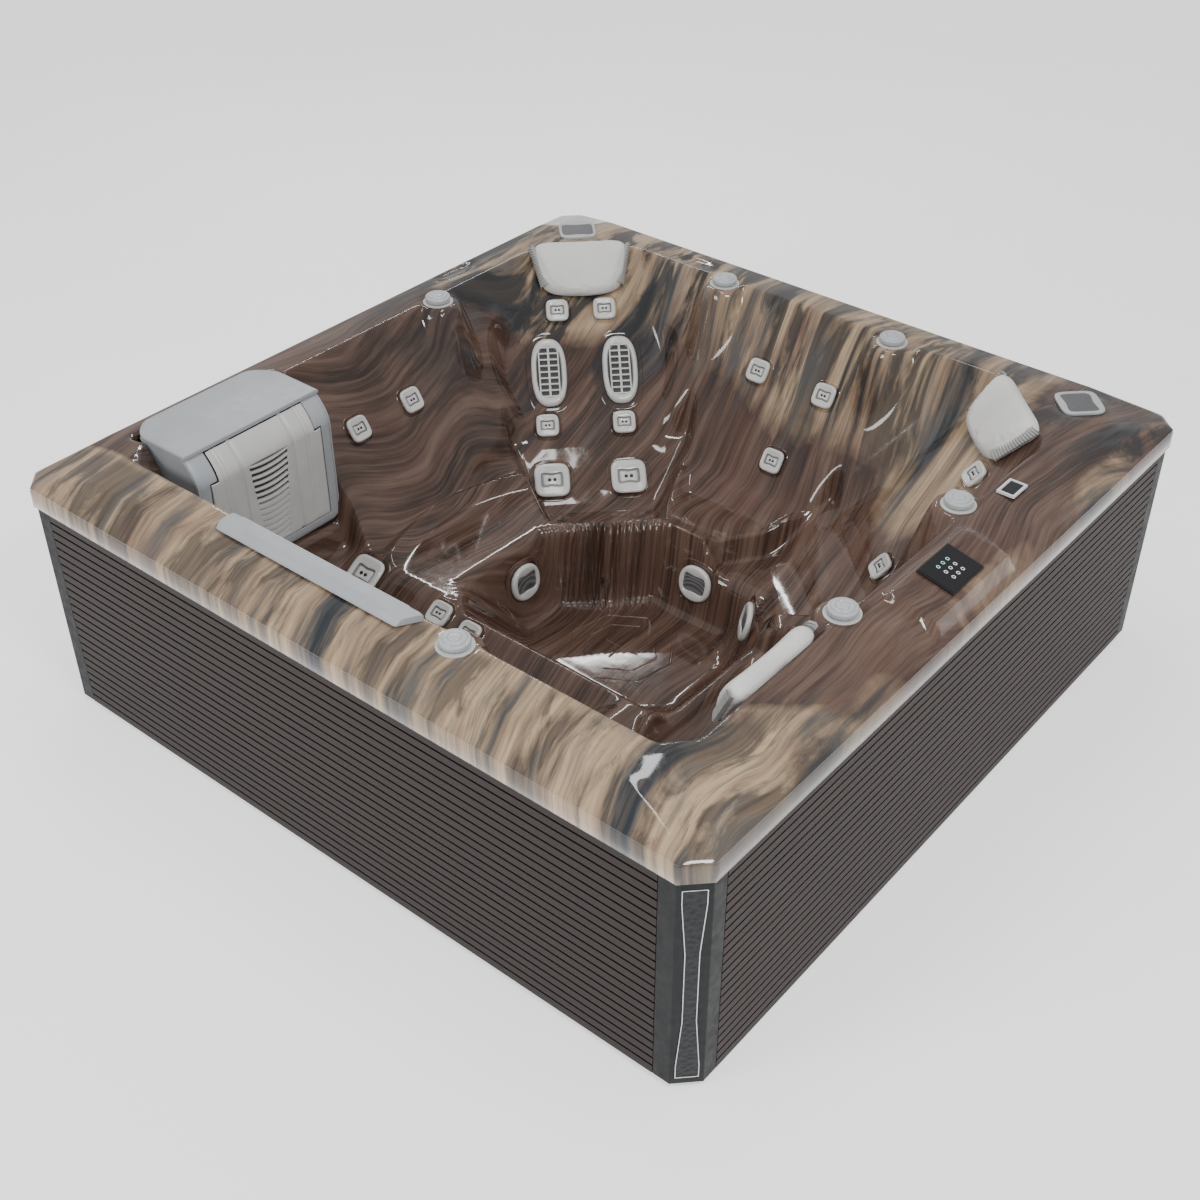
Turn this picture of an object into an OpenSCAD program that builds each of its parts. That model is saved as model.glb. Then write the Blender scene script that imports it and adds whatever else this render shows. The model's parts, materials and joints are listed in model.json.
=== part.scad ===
// Square acrylic hot tub on a slatted cabinet, with its pumps, heater, filter and turning fittings.
// Millimetres. +Z up. The origin is the middle of the footprint, on the floor.
// The front, with the control panel, faces -Y.

/* [Overall] */
// Length and width over the acrylic lip
lip_w = 2300; // [2100:10:2800]
// Height of the rim's highest edge above the floor
rim_top_z = 808; // [780:4:980]
// Height of the base pan above the floor
foot_h = 18; // [12:1:40]
// Thickness of the acrylic and its backing
wall = 8; // [6:0.5:12]

/* [Rim] */
// Height of the rim above the cabinet panels
rim_h = 132; // [110:2:160]
// Height of the upright band at the rim's outside
band_h = 60; // [40:2:80]
// Width of the sloped facet above the band
facet_w = 80; // [50:5:110]
// Fall of the rim's outer top edge below its highest edge
rim_fall = 15; // [8:1:24]
// Width of the rim along a straight side
rim_w = 208; // [190:2:240]
// Chamfer across each corner of the lip
lip_chamfer = 58; // [40:2:90]

/* [Tub] */
// Height of the seats above the floor
seat_z = 318; // [280:2:380]
// Height of the footwell's floor above the ground
footwell_z = 62; // [50:2:90]
// Depth of the bucket seats below the flat seats
bucket_depth = 100; // [70:5:120]
// Depth of the lounge below the flat seats
lounge_depth = 68; // [40:2:80]
// Horizontal run of the reclined backs for each unit of rise
back_slope = 0.665; // [0.4:0.005:0.75]
// Distance from the tub's centre to the mouth of a cornered seat
corner_reach = 1150; // [1100:5:1200]

/* [Cabinet] */
// Inset of the cabinet from the lip
cabinet_inset = 7; // [4:1:20]
// Thickness of a cabinet panel
panel_t = 14; // [12:1:20]
// Number of slats on each panel
slat_count = 24; // [16:1:30]
// Height of the groove between two slats
groove_h = 6; // [4:0.5:8]
// Width of a post's flange beside the corner chamfer
post_flange = 48; // [40:1:70]
// Thickness of a corner post
post_t = 12; // [10:1:14]

/* [Fittings] */
// Width across the flats of a small jet's face
small_jet_w = 74; // [60:2:90]
// Width across the flats of a large jet's face
large_jet_w = 114; // [100:2:130]
// Diameter of a rim knob
knob_d = 78; // [64:2:90]
// Diameter of a suction cover
suction_d = 116; // [100:2:130]
// Width of a corner speaker
speaker_w = 124; // [110:2:140]
// Clearance of a piece that doesn't move
fit_gap = 0.3; // [0.2:0.05:0.6]
// Clearance of a piece that moves
run_gap = 2; // [1.5:0.1:3]

/* [Hidden] */
$fn = 48;
eps = 0.5;
r2 = sqrt(2);
lip_half = lip_w / 2;
lip_z = rim_top_z - rim_h;
inner_half = lip_half - rim_w;
outer_top_z = rim_top_z - rim_fall;
cab_half = lip_half - cabinet_inset;
cab_chamfer = lip_chamfer - 2;
reach = corner_reach - (1150 - lip_half);
far_reach = reach + 135;
pan_t = 8;
pan_top = foot_h + pan_t;

knob_sites = [
    ["knob_back", [250, inner_half - 17]], ["knob_right_back", [inner_half - 17, 309]],
    ["knob_right_front", [inner_half - 17, -313]], ["knob_front_right", [276, 31 - inner_half]],
    ["knob_front_left", [-306, 9 - inner_half]], ["knob_left", [-inner_half - 30, -313]]
];
knob_floor = rim_top_z - 8;
pod_r = knob_d / 2 + 18;

// A jet is [name, kind, point on the wall, direction the wall faces]
function unit(v) = v / norm(v);
function side_at(z) = inner_half - back_slope * (rim_top_z - z);
function left_at(z) = inner_half - 0.15 * (rim_top_z - z);
function front_at(z) = inner_half - 0.5 * (rim_top_z - z);
function corner_at(z) = reach - (rim_top_z - z);
function nook_at(z) = far_reach - 0.5 * (rim_top_z - z);
far_out = [1, 1, 0] / r2;
right_out = [1, -1, 0] / r2;
along = [-1, 1, 0] / r2;
across = [1, 1, 0] / r2;
back_dir = unit([0, -1, back_slope]);
right_dir = unit([-1, 0, back_slope]);
far_dir = unit([0, 0, 1] - far_out);
nook_dir = unit([0, 0, 1] - right_out);
up = [0, 0, 1];
bucket_z = seat_z - bucket_depth;
function on_corner(out, side, z, s) = out * corner_at(z) + side * s + up * z;
function on_bucket(out, side, z, s) =
    out * (bucket_low + (z - bucket_z) * bucket_run) + side * s + up * z;
bucket_top_z = seat_z + 40;
bucket_run = 4 / 3;
bucket_low = corner_at(bucket_top_z) - bucket_run * (bucket_top_z - bucket_z);
bucket_dir = unit(up * bucket_run - far_out);
lounge_z = seat_z - lounge_depth;
lounge_top_z = seat_z + 12;
lounge_run = 120 / (lounge_top_z - lounge_z);
lounge_dir = unit([-1, 0, lounge_run]);
function on_lounge(z, y) = [-520 + (z - lounge_z) * lounge_run, y, z];

jets = [
    ["jet_corner_low_left", "large", on_bucket(far_out, along, seat_z - 46, 148), bucket_dir],
    ["jet_corner_low_right", "large", on_bucket(far_out, along, seat_z - 46, -100), bucket_dir],
    ["jet_corner_mid_left", "small", on_corner(far_out, along, seat_z + 72, 150), far_dir],
    ["jet_corner_mid_right", "small", on_corner(far_out, along, seat_z + 72, -100), far_dir],
    ["jet_corner_high_left", "small", on_corner(far_out, along, seat_z + 344, 94), far_dir],
    ["jet_corner_high_right", "small", on_corner(far_out, along, seat_z + 344, -61), far_dir],
    ["jet_back_right", "small", [-11, side_at(seat_z + 288), seat_z + 288], back_dir],
    ["jet_back_left", "small", [-233, side_at(seat_z + 288), seat_z + 288], back_dir],
    ["jet_right_high_back", "small", [side_at(seat_z + 294), 81, seat_z + 294], right_dir],
    ["jet_right_high_front", "small", [side_at(seat_z + 294), -166, seat_z + 294], right_dir],
    ["jet_right_low", "small", [side_at(seat_z + 91), -81, seat_z + 91], right_dir],
    ["jet_nook_high", "small", on_corner(right_out, across, seat_z + 342, -105), nook_dir],
    ["jet_nook_mid", "large", on_corner(right_out, across, seat_z + 260, -152), nook_dir],
    ["jet_nook_low", "small", on_corner(right_out, across, seat_z + 86, -167), nook_dir],
    ["jet_lounge_knee", "small", on_lounge(seat_z - 23, 280), lounge_dir],
    ["jet_lounge_calf", "small", on_lounge(seat_z - 30, 158), lounge_dir],
    ["jet_lounge_foot", "large", on_lounge(seat_z - 24, 584), lounge_dir]
];
grilles = [on_corner(far_out, along, seat_z + 197, 134), on_corner(far_out, along, seat_z + 197, -99)];

footwell_low = [[-150, -330], [100, -330], [238, -230], [238, 75], [50, 258], [-120, 262],
    [-215, 180], [-215, -260]];
footwell_top = [[-380, -510], [110, -490], [300, -270], [292, 32], [17, 300], [-330, 300],
    [-420, 200], [-464, -424]];
// Suction covers: [edge of the footwell, share along it, share up it]
suctions = [[2, 0.49, 0.45], [1, 0.38, 0.58], [4, 0.46, 0.57]];
footwell_light = [3, 0.5, 0.24];
function mix(a, b, s) = a * (1 - s) + b * s;
function lift(p, z) = [p[0], p[1], z];
function well_point(i, s, t) = mix(
    lift(mix(footwell_low[i], footwell_low[(i + 1) % 8], s), footwell_z),
    lift(mix(footwell_top[i], footwell_top[(i + 1) % 8], s), seat_z), t);
function well_dir(i) = unit(cross(
    lift(footwell_top[(i + 1) % 8], seat_z) - lift(footwell_low[i], footwell_z),
    lift(footwell_low[(i + 1) % 8], footwell_z) - lift(footwell_low[i], footwell_z)));

filter_l = -865;
filter_r = -385;
filter_face = inner_half - 202;
filter_low_z = seat_z + 85;
bay_back = inner_half + 62;
bay_z = seat_z - 78;
frame_t = 10;

speaker_sites = [[lip_half - 226, lip_half - 225], [lip_half - 208, 231 - lip_half]];
speaker_floor = rim_top_z - 6;
speaker_turn = [45, -45];

console_x = [-190, 170];
console_in = -inner_half - 43;
console_out = -inner_half - 180;
console_h = [16, -14];
screen_size = [148, 108];
screen_mid = [-4, -inner_half - 104];
console_tilt = atan((console_h[0] - console_h[1]) / (console_in - console_out));
display_mid = [416, -inner_half - 46];
display_size = [74, 52];

bar_y = [-200, 470];
bar_x = [-inner_half - 76, -inner_half - 14];
bar_h = 20;

// ---------- helpers ----------

// Sets children on a surface: their +Z becomes the direction, their +X points down the slope
module face_to(point, dir) {
    translate(point)
        rotate([0, acos(dir[2]), atan2(dir[1], dir[0])])
            children();
}

// Moves each side of a convex outline outwards
function grow(poly, g) = let (n = len(poly)) [for (i = [0:n - 1])
    let (
        a = unit(poly[i] - poly[(i + n - 1) % n]),
        b = unit(poly[(i + 1) % n] - poly[i]),
        na = [a[1], -a[0]],
        nb = [b[1], -b[0]]
    ) poly[i] + (na + nb) * g / (1 + na * nb)];

// Solid through a stack of [height, outline], every outline having the same number of points
module stack(levels) {
    n = len(levels[0][1]);
    last = len(levels) - 1;
    polyhedron(
        points = [for (l = levels) for (p = l[1]) [p[0], p[1], l[0]]],
        faces = concat(
            [[for (i = [0:n - 1]) i]],
            [[for (i = [n - 1:-1:0]) last * n + i]],
            [for (k = [0:last - 1]) for (i = [0:n - 1])
                [k * n + i, (k + 1) * n + i, (k + 1) * n + (i + 1) % n]],
            [for (k = [0:last - 1]) for (i = [0:n - 1])
                [k * n + i, (k + 1) * n + (i + 1) % n, k * n + (i + 1) % n]]
        ));
}

function quarter(p, k) = k == 0 ? p : k == 1 ? [-p[1], p[0]] : k == 2 ? [-p[0], -p[1]] : [p[1], -p[0]];
// Square outline whose corners are the given points, turned four ways
function four(points) = [for (k = [0:3]) for (p = points) quarter(p, k)];
// Eight-sided outline: half-widths to +X, +Y, -X, -Y, then reaches of the corners between them
function cut_square(h, d) = [
    [h[0], r2 * d[0] - h[0]], [r2 * d[0] - h[1], h[1]],
    [h[1] - r2 * d[1], h[1]], [-h[2], r2 * d[1] - h[2]],
    [-h[2], h[2] - r2 * d[2]], [h[3] - r2 * d[2], -h[3]],
    [r2 * d[3] - h[3], -h[3]], [h[0], h[0] - r2 * d[3]]];

// Rounded square, with bulging sides that meet in round corners
module soft_square(w) {
    intersection() {
        circle(d = w * 1.2, $fn = 64);
        square(w, center = true);
    }
}

// Square with two hollow sides
module bow_tie(w, h) {
    difference() {
        square([h, w], center = true);
        for (s = [-1, 1])
            translate([s * (h / 2 + w * 0.88), 0])
                circle(r = w, $fn = 64);
    }
}

// ---------- shell ----------

basin_low = seat_z;
function basin(z, g) = cut_square(
    [side_at(z) + g * 1.2, side_at(z) + g * 1.2, left_at(z) + g, front_at(z) + g * 1.1],
    [corner_at(z) + g * r2, nook_at(z) + g * 1.1, nook_at(z) + g * 1.1, corner_at(z) + g * r2]);

function bucket(out, side, low, high, half) = [
    out * low - side * half * 0.8, out * high - side * half,
    out * high + side * half, out * low + side * half * 0.8];
function flat(list) = [for (p = list) [p[0], p[1]]];

function pockets() = [
    [[footwell_z, footwell_low], [seat_z + eps, footwell_top]],
    [[bucket_z, flat(bucket(far_out, along, 330, bucket_low, 190))],
        [bucket_top_z, flat(bucket(far_out, along, 270, corner_at(bucket_top_z), 280))]],
    [[bucket_z, flat(bucket(right_out, across, 330, bucket_low, 190))],
        [bucket_top_z, flat(bucket(right_out, across, 270, corner_at(bucket_top_z), 280))]],
    [[lounge_z, [[-800, -260], [-520, -260], [-520, 660], [-800, 660]]],
        [lounge_top_z, [[-870, -400], [-400, -400], [-400, 720], [-870, 720]]]],
    // Wall at the lounge's foot, up to the filter
    [[lounge_top_z - 2, [[-868, 560], [-402, 560], [-402, 719], [-868, 719]]],
        [filter_low_z - 8 + eps, [[-869, 560], [-390, 560], [-390, 722], [-869, 722]]]],
    [[seat_z - 30, [[350, -190], [540, -190], [540, 150], [350, 150]]],
        [seat_z + 12, [[310, -230], [600, -230], [600, 190], [310, 190]]]],
    [[seat_z - 30, [[-560, -700], [-120, -700], [-120, -560], [-560, -560]]],
        [seat_z + 12, [[-620, -740], [-60, -740], [-60, -520], [-620, -520]]]]
];

bow = 0.4;
module rim_solid(g) {
    // The long sides bow out by a hair towards their middle, so that no three corners line up
    edge = [[lip_half, 898], [lip_half - bow, lip_half - lip_chamfer],
        [lip_half - lip_chamfer, lip_half - bow], [898, lip_half]];
    // At a corner the rim's flat falls straight to the band, so the crest runs straight across
    crest_end = [[lip_half - facet_w, 898], [898, lip_half - facet_w]];
    crest = [crest_end[0], mix(crest_end[0], crest_end[1], 1 / 3) + [bow, bow] * 4,
        mix(crest_end[0], crest_end[1], 2 / 3) + [bow, bow] * 4, crest_end[1]];
    function inner(d) = let (h = inner_half + 22, k = r2 * d - h)
        [[h, k], mix([h, k], [k, h], 1 / 3) + [4, 4], mix([h, k], [k, h], 2 / 3) + [4, 4], [k, h]];
    tops = [reach + 15, far_reach + 15, far_reach + 15, reach + 15];
    top = [for (k = [0:3]) for (p = inner(tops[k])) quarter(p, k)];
    stack([
        [lip_z - (g > 0 ? eps : 0), grow(four(edge), -g)],
        [lip_z + band_h, grow(four(edge), -g)],
        [outer_top_z - g, grow(four(crest), -g)],
        [rim_top_z - g, grow(top, -g)]]);
}

module filter_bay(g) {
    front = filter_face + (g > 0 ? frame_t - 3 : 2);
    translate([filter_l + 12 - g, front, bay_z - g])
        cube([filter_r - filter_l - 24 + 2 * g, bay_back - front + g,
            rim_top_z - bay_z + g + (g > 0 ? -1 : eps)]);
}

module filter_recess(g) {
    translate([filter_l - 6 - g, filter_face - 170, filter_low_z - 8 - g])
        cube([filter_r - filter_l + 12 + 2 * g, 170 + frame_t + g,
            rim_top_z - filter_low_z + 8 + g + (g > 0 ? -1 : eps)]);
}

// Ridge between two seats, running from the footwell's edge out to the wall
module ridge(from, to, low, high, half) {
    dir = unit(to - from);
    side = [-dir[1], dir[0]] * half;
    base = seat_z - wall / 2;
    polyhedron(
        points = [
            lift(from + side, base), lift(from - side, base), lift(to - side, base),
            lift(to + side, base), lift(from + side * 0.2, low), lift(from - side * 0.2, low),
            lift(to - side * 0.2, high), lift(to + side * 0.2, high)],
        faces = [[0, 1, 2, 3], [7, 6, 5, 4], [0, 4, 5], [0, 5, 1], [1, 5, 6], [1, 6, 2],
            [2, 6, 7], [2, 7, 3], [3, 7, 4], [3, 4, 0]]);
}

module console_block() {
    low = rim_top_z - wall / 2;
    box = [[console_x[0], console_out], [console_x[1], console_out],
        [console_x[1], console_in], [console_x[0], console_in]];
    polyhedron(
        points = concat(
            [for (p = box) lift(grow_point(p, 14), p[1] == console_out ? low - 24 : low)],
            [for (p = box) lift(p, rim_top_z + (p[1] == console_out ? console_h[1] : console_h[0]))]),
        faces = [[0, 1, 2, 3], [7, 6, 5, 4], [0, 4, 5, 1], [1, 5, 2], [5, 6, 2],
            [2, 6, 7, 3], [3, 7, 0], [7, 4, 0]]);
}
function grow_point(p, g) = [p[0] + (p[0] < 0 ? -g : g), p[1] + (p[1] == console_out ? -g : g)];

module jet_hole(point, dir, r) {
    face_to(point, dir)
        translate([0, 0, -60])
            cylinder(r = r, h = 90);
}

// Disc on the footwell's wall, for the flat seat of a suction cover
module suction_seat(s, r, from, to) {
    face_to(well_point(s[0], s[1], s[2]), well_dir(s[0]))
        translate([0, 0, from])
            cylinder(r = r, h = to - from);
}

small_r = 26;
large_r = 38;
function jet_r(kind) = kind == "small" ? small_r : large_r;

module shell() {
    color("tan")
        difference() {
            union() {
                difference() {
                    union() {
                        difference() {
                            rim_solid(0);
                            rim_solid(wall);
                        }
                        stack([[basin_low - wall, basin(basin_low - wall, wall)],
                            [rim_top_z - eps, basin(rim_top_z - eps, wall)]]);
                        for (p = pockets())
                            stack([[p[0][0] - wall, grow(p[0][1], wall)],
                                [p[1][0], grow(p[1][1], wall * 1.2)]]);
                        filter_bay(wall);
                        filter_recess(wall);
                        for (s = suctions)
                            suction_seat(s, suction_d / 2 + 10, -wall, 12);
                    }
                    difference() {
                        stack([[basin_low, basin(basin_low, 0)],
                            [rim_top_z + eps, basin(rim_top_z + eps, 0)]]);
                        translate([filter_l - 200, filter_face + frame_t - 2, lounge_z])
                            cube([filter_r - filter_l + 200, 500, 900]);
                    }
                    for (p = pockets())
                        stack(p);
                    filter_bay(0);
                    filter_recess(0);
                }
                for (k = knob_sites)
                    translate([k[1][0], k[1][1], knob_floor - 62])
                        cylinder(r1 = pod_r - 24, r2 = pod_r, h = 62);
                for (s = suctions)
                    suction_seat(s, suction_d / 2 + 2, 2 - wall, 0);
                ridge([-10, -500], [-10, -front_at(560)], seat_z + 25, 560, 46);
                ridge([-425, -470], [-790, -790], seat_z + 25, 540, 60);
                console_block();
            }
            for (k = knob_sites) {
                translate([k[1][0], k[1][1], knob_floor])
                    cylinder(r = pod_r - 4, h = 40);
                translate([k[1][0], k[1][1], knob_floor - 90])
                    cylinder(r = 22, h = 100);
            }
            for (j = jets)
                jet_hole(j[2], j[3], jet_r(j[1]) + 1);
            for (g = grilles)
                jet_hole(g, far_dir, small_r + 1);
            for (s = suctions) {
                jet_hole(well_point(s[0], s[1], s[2]), well_dir(s[0]), 31);
                suction_seat(s, suction_d / 2 + 2, 0, 30);
            }
            jet_hole(well_point(footwell_light[0], footwell_light[1], footwell_light[2]),
                well_dir(footwell_light[0]), 13);
            for (s = speaker_sites) {
                translate([s[0], s[1], speaker_floor])
                    cylinder(d = speaker_w * 1.24, h = 40);
                translate([s[0], s[1], speaker_floor - 60])
                    cylinder(r = 48, h = 80);
            }
            translate([screen_mid[0], screen_mid[1], rim_top_z - 40])
                cylinder(r = 24, h = 80);
            translate([display_mid[0], display_mid[1], rim_top_z - 40])
                cylinder(r = 14, h = 80);
            translate([bar_x[0] + 30, 135, rim_top_z - 40])
                cylinder(r = 16, h = 80);
        }
}

// ---------- cabinet ----------

panel_half = cab_half - cab_chamfer - post_flange - 1;
panel_z = [foot_h, lip_z - 1];

module panel(turn) {
    pitch = (panel_z[1] - panel_z[0]) / slat_count;
    rotate([0, 0, turn])
        difference() {
            translate([-panel_half, -cab_half, panel_z[0]])
                cube([2 * panel_half, panel_t, panel_z[1] - panel_z[0]]);
            for (i = [1:slat_count - 1])
                translate([-panel_half - 1, -cab_half - 1, panel_z[0] + i * pitch - groove_h / 2])
                    cube([2 * panel_half + 2, 6, groove_h]);
        }
}

module panel_front() { color("dimgray") panel(0); }
module panel_right() { color("dimgray") panel(90); }
module panel_back() { color("dimgray") panel(180); }
module panel_left() { color("dimgray") panel(270); }

function post_outline(inset) = let (
    a = cab_half - inset, c = cab_chamfer - inset * (2 - r2), f = cab_half - cab_chamfer - post_flange)
    [[a, f], [a, a - c], [a - c, a], [f, a]];

lens_w = [52, 30];
lens_z = [foot_h + 24, lip_z - 24];

// Outline of a corner light, narrow in the middle
module lens_outline(g) {
    mid = (lens_z[0] + lens_z[1]) / 2;
    function x(i) = lens_w[i] / 2 + g;
    polygon([
        [-x(0), lens_z[0] - g], [x(0), lens_z[0] - g], [x(0), lens_z[0] + 40],
        [x(1), mid - 110], [x(1), mid + 110], [x(0), lens_z[1] - 40], [x(0), lens_z[1] + g],
        [-x(0), lens_z[1] + g], [-x(0), lens_z[1] - 40], [-x(1), mid + 110],
        [-x(1), mid - 110], [-x(0), lens_z[0] + 40]]);
}

corner_out = (2 * cab_half - cab_chamfer) / r2;
// Plate of the light's outline, standing on the corner's flat, from one depth to another
module lens_plate(turn, from, to, g) {
    rotate([0, 0, turn])
        translate([corner_out + from, 0, 0])
            rotate([90, 0, 90])
                linear_extrude(height = to - from)
                    lens_outline(g);
}

module corner_posts() {
    color([0.16, 0.16, 0.17])
        for (k = [0:3])
            difference() {
                rotate([0, 0, 90 * k])
                    translate([0, 0, foot_h])
                        linear_extrude(height = lip_z - 1 - foot_h)
                            polygon(concat(post_outline(0), [for (i = [3:-1:0]) post_outline(post_t)[i]]));
                lens_plate(45 + 90 * k, -5, 5, 2 + fit_gap);
            }
}

module light_bezels() {
    color("silver")
        for (k = [0:3])
            difference() {
                lens_plate(45 + 90 * k, -5 + fit_gap, 2, 2);
                lens_plate(45 + 90 * k, -3, 5, 0);
            }
}

module light_lenses() {
    color([0.05, 0.05, 0.06])
        for (k = [0:3])
            lens_plate(45 + 90 * k, -3 + fit_gap, 0.6, -fit_gap);
}

module base_pan() {
    half = cab_half - panel_t - 1;
    feet = [[-1, -1], [0, -1], [1, -1], [-1, 0], [0, 0], [1, 0], [-1, 1], [0, 1], [1, 1]];
    color([0.12, 0.12, 0.12]) {
        translate([0, 0, foot_h])
            linear_extrude(height = pan_t)
                polygon(four([[half, half - 60], [half - 60, half]]));
        for (f = feet)
            translate([f[0] * (half - 130), f[1] * (half - 130), foot_h / 2])
                cube([160, 160, foot_h], center = true);
    }
}

frame_out = cab_half - panel_t - 38;
frame_w = 38;
module frame() {
    rail_z = lip_z - 46;
    color("burlywood")
        for (k = [0:3])
            rotate([0, 0, 90 * k]) {
                translate([-frame_out + frame_w + 1, -frame_out, rail_z])
                    cube([2 * frame_out - 2 * frame_w - 2, frame_w, frame_w]);
                translate([-frame_out + frame_w + 1, -frame_out, pan_top + fit_gap])
                    cube([2 * frame_out - 2 * frame_w - 2, frame_w, 30]);
                for (x = [-frame_out, -330, 330])
                    translate([x, -frame_out, pan_top + fit_gap + (x == -frame_out ? 0 : 30)])
                        cube([frame_w, frame_w, rail_z - pan_top - fit_gap
                            - (x == -frame_out ? -frame_w : 30)]);
            }
}

module insulation() {
    t = 30;
    color("silver")
        for (k = [0:3])
            rotate([0, 0, 90 * k])
                translate([-frame_out + 30, -cab_half + panel_t + 2, pan_top + 1])
                    cube([2 * frame_out - 60, t, lip_z - pan_top - 10]);
}

// ---------- equipment under the seats ----------

pump_y = -inner_half + 130;
pump_axis = pan_top + 92;
pump_x = [-420, 330];

module pump(x) {
    translate([x, pump_y, pump_axis]) {
        rotate([0, 90, 0])
            cylinder(r = 74, h = 230);
        translate([-66, 0, 0])
            rotate([0, 90, 0])
                cylinder(r = 86, h = 66);
        translate([-110, 0, 0])
            rotate([0, 90, 0])
                cylinder(r = 30, h = 46);
        translate([-36, 0, 60])
            cylinder(r = 28, h = 70);
        translate([20, -60, -92])
            cube([180, 120, 40]);
    }
}
module pump_left() { color("slategray") pump(pump_x[0]); }
module pump_right() { color("slategray") pump(pump_x[1]); }

heater_x = [-180, 200];
heater_y = -inner_half - 70;
heater_z = pan_top + 90;

module heater() {
    color("silver")
        translate([heater_x[0], heater_y, heater_z]) {
            rotate([0, 90, 0])
                cylinder(r = 30, h = heater_x[1] - heater_x[0]);
            for (x = [30, 330])
                translate([x, 0, 0])
                    rotate([0, 90, 0])
                        cylinder(r = 40, h = 20);
        }
}

module control_box() {
    color("gray") {
        translate([-800, -inner_half - 95, pan_top + 40])
            cube([330, 100, 230]);
        translate([-806, -inner_half - 101, pan_top + 262])
            cube([342, 112, 18]);
    }
}

module air_blower() {
    color([0.2, 0.2, 0.22])
        translate([inner_half - 200, -inner_half + 60, pan_top + fit_gap]) {
            cylinder(r = 80, h = 60);
            cylinder(r = 62, h = 170);
            translate([0, 0, 160])
                cylinder(r = 24, h = 60);
        }
}

// Pipe along straight runs, joined by round elbows
module pipe(points, r) {
    for (i = [0:len(points) - 2]) {
        d = points[i + 1] - points[i];
        translate(points[i])
            rotate([0, acos(d[2] / norm(d)), atan2(d[1], d[0])])
                cylinder(r = r, h = norm(d));
        if (i > 0)
            translate(points[i])
                sphere(r = r * 1.15, $fn = 32);
    }
}

main_r = 24;
branch_r = 20;
main_z = 60;
pump_top_z = pump_axis + 130 + fit_gap;
over_z = pump_top_z + 40;
riser_x = heater_x[0] - 70;

module pipework() {
    suction_y = pump_y + 130;
    bay_x = filter_r - 125;
    bay_y = (filter_face + bay_back) / 2 + 8;
    color("white") {
        // Suction line from the filter's bay round to both pumps
        pipe([[-640, suction_y, main_z], [700, suction_y, main_z], [700, 560, main_z],
            [bay_x, 560, main_z], [bay_x, bay_y, main_z], [bay_x, bay_y, bay_z - wall - fit_gap]], main_r);
        for (x = [pump_x[0], pump_x[1]])
            pipe([[x - 110 - fit_gap, pump_y, pump_axis], [x - 170, pump_y, pump_axis],
                [x - 170, suction_y, pump_axis], [x - 170, suction_y, main_z]], branch_r);
        // Right pump to the heater
        pipe([[pump_x[1] - 36, pump_y, pump_top_z], [pump_x[1] - 36, pump_y, over_z],
            [pump_x[1] - 36, heater_y, over_z], [pump_x[1] - 36, heater_y, heater_z],
            [heater_x[1] + fit_gap, heater_y, heater_z]], branch_r);
        // Heater and left pump up to the rim
        pipe([[heater_x[0] - fit_gap, heater_y, heater_z], [riser_x, heater_y, heater_z],
            [riser_x, heater_y, lip_z - 70]], branch_r);
        pipe([[pump_x[0] - 36, pump_y, pump_top_z], [pump_x[0] - 36, pump_y, over_z],
            [riser_x, heater_y, over_z]], branch_r - 3);
    }
}

drain_z = pan_top + 30 + 22 + 2 * fit_gap;

module drain_valve() {
    color("black") {
        translate([cab_half - panel_t - 90, -760, drain_z])
            rotate([0, 90, 0])
                cylinder(r = 14, h = 50);
        translate([cab_half - panel_t - 80, -760, drain_z])
            rotate([0, 90, 0])
                cylinder(r = 22, h = 12);
    }
}

// ---------- fittings ----------

module valve_bodies() {
    color("silver")
        for (k = knob_sites)
            translate([k[1][0], k[1][1], knob_floor])
                difference() {
                    union() {
                        translate([0, 0, fit_gap])
                            cylinder(r = pod_r - 10, h = 3);
                        translate([0, 0, -74])
                            cylinder(r = 21, h = 76);
                    }
                    translate([0, 0, -50])
                        cylinder(r = 12, h = 70);
                }
}

knob_pivot = 8;
module knob(i) {
    color("lightgray")
        translate([knob_sites[i][1][0], knob_sites[i][1][1], knob_floor + 3 + run_gap]) {
            cylinder(d1 = knob_d - 6, d2 = knob_d, h = 8);
            translate([0, 0, 8])
                cylinder(d = knob_d, h = 6);
            translate([0, 0, 14])
                cylinder(d1 = knob_d, d2 = knob_d - 8, h = 4);
            translate([0, 0, 18])
                cylinder(d = knob_d - 22, h = 4);
            translate([0, 0, 22])
                linear_extrude(height = 2)
                    soft_square(24);
            translate([0, 0, -knob_pivot])
                cylinder(r = 12 - run_gap, h = knob_pivot + 1);
        }
}
module knob_back() { knob(0); }
module knob_right_back() { knob(1); }
module knob_right_front() { knob(2); }
module knob_front_right() { knob(3); }
module knob_front_left() { knob(4); }
module knob_left() { knob(5); }

jet_flange_t = 4;
module jet_body(kind) {
    r = jet_r(kind);
    difference() {
        union() {
            translate([0, 0, fit_gap])
                cylinder(r = r + 8, h = jet_flange_t);
            translate([0, 0, -58])
                cylinder(r = r, h = 60);
            translate([0, 0, -32])
                cylinder(r = r + 9, h = 12);
        }
        translate([0, 0, -50])
            cylinder(r = r - 5, h = 70);
    }
}

module jet_bodies() {
    color("gainsboro")
        for (j = jets)
            face_to(j[2], j[3])
                jet_body(j[1]);
}

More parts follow.
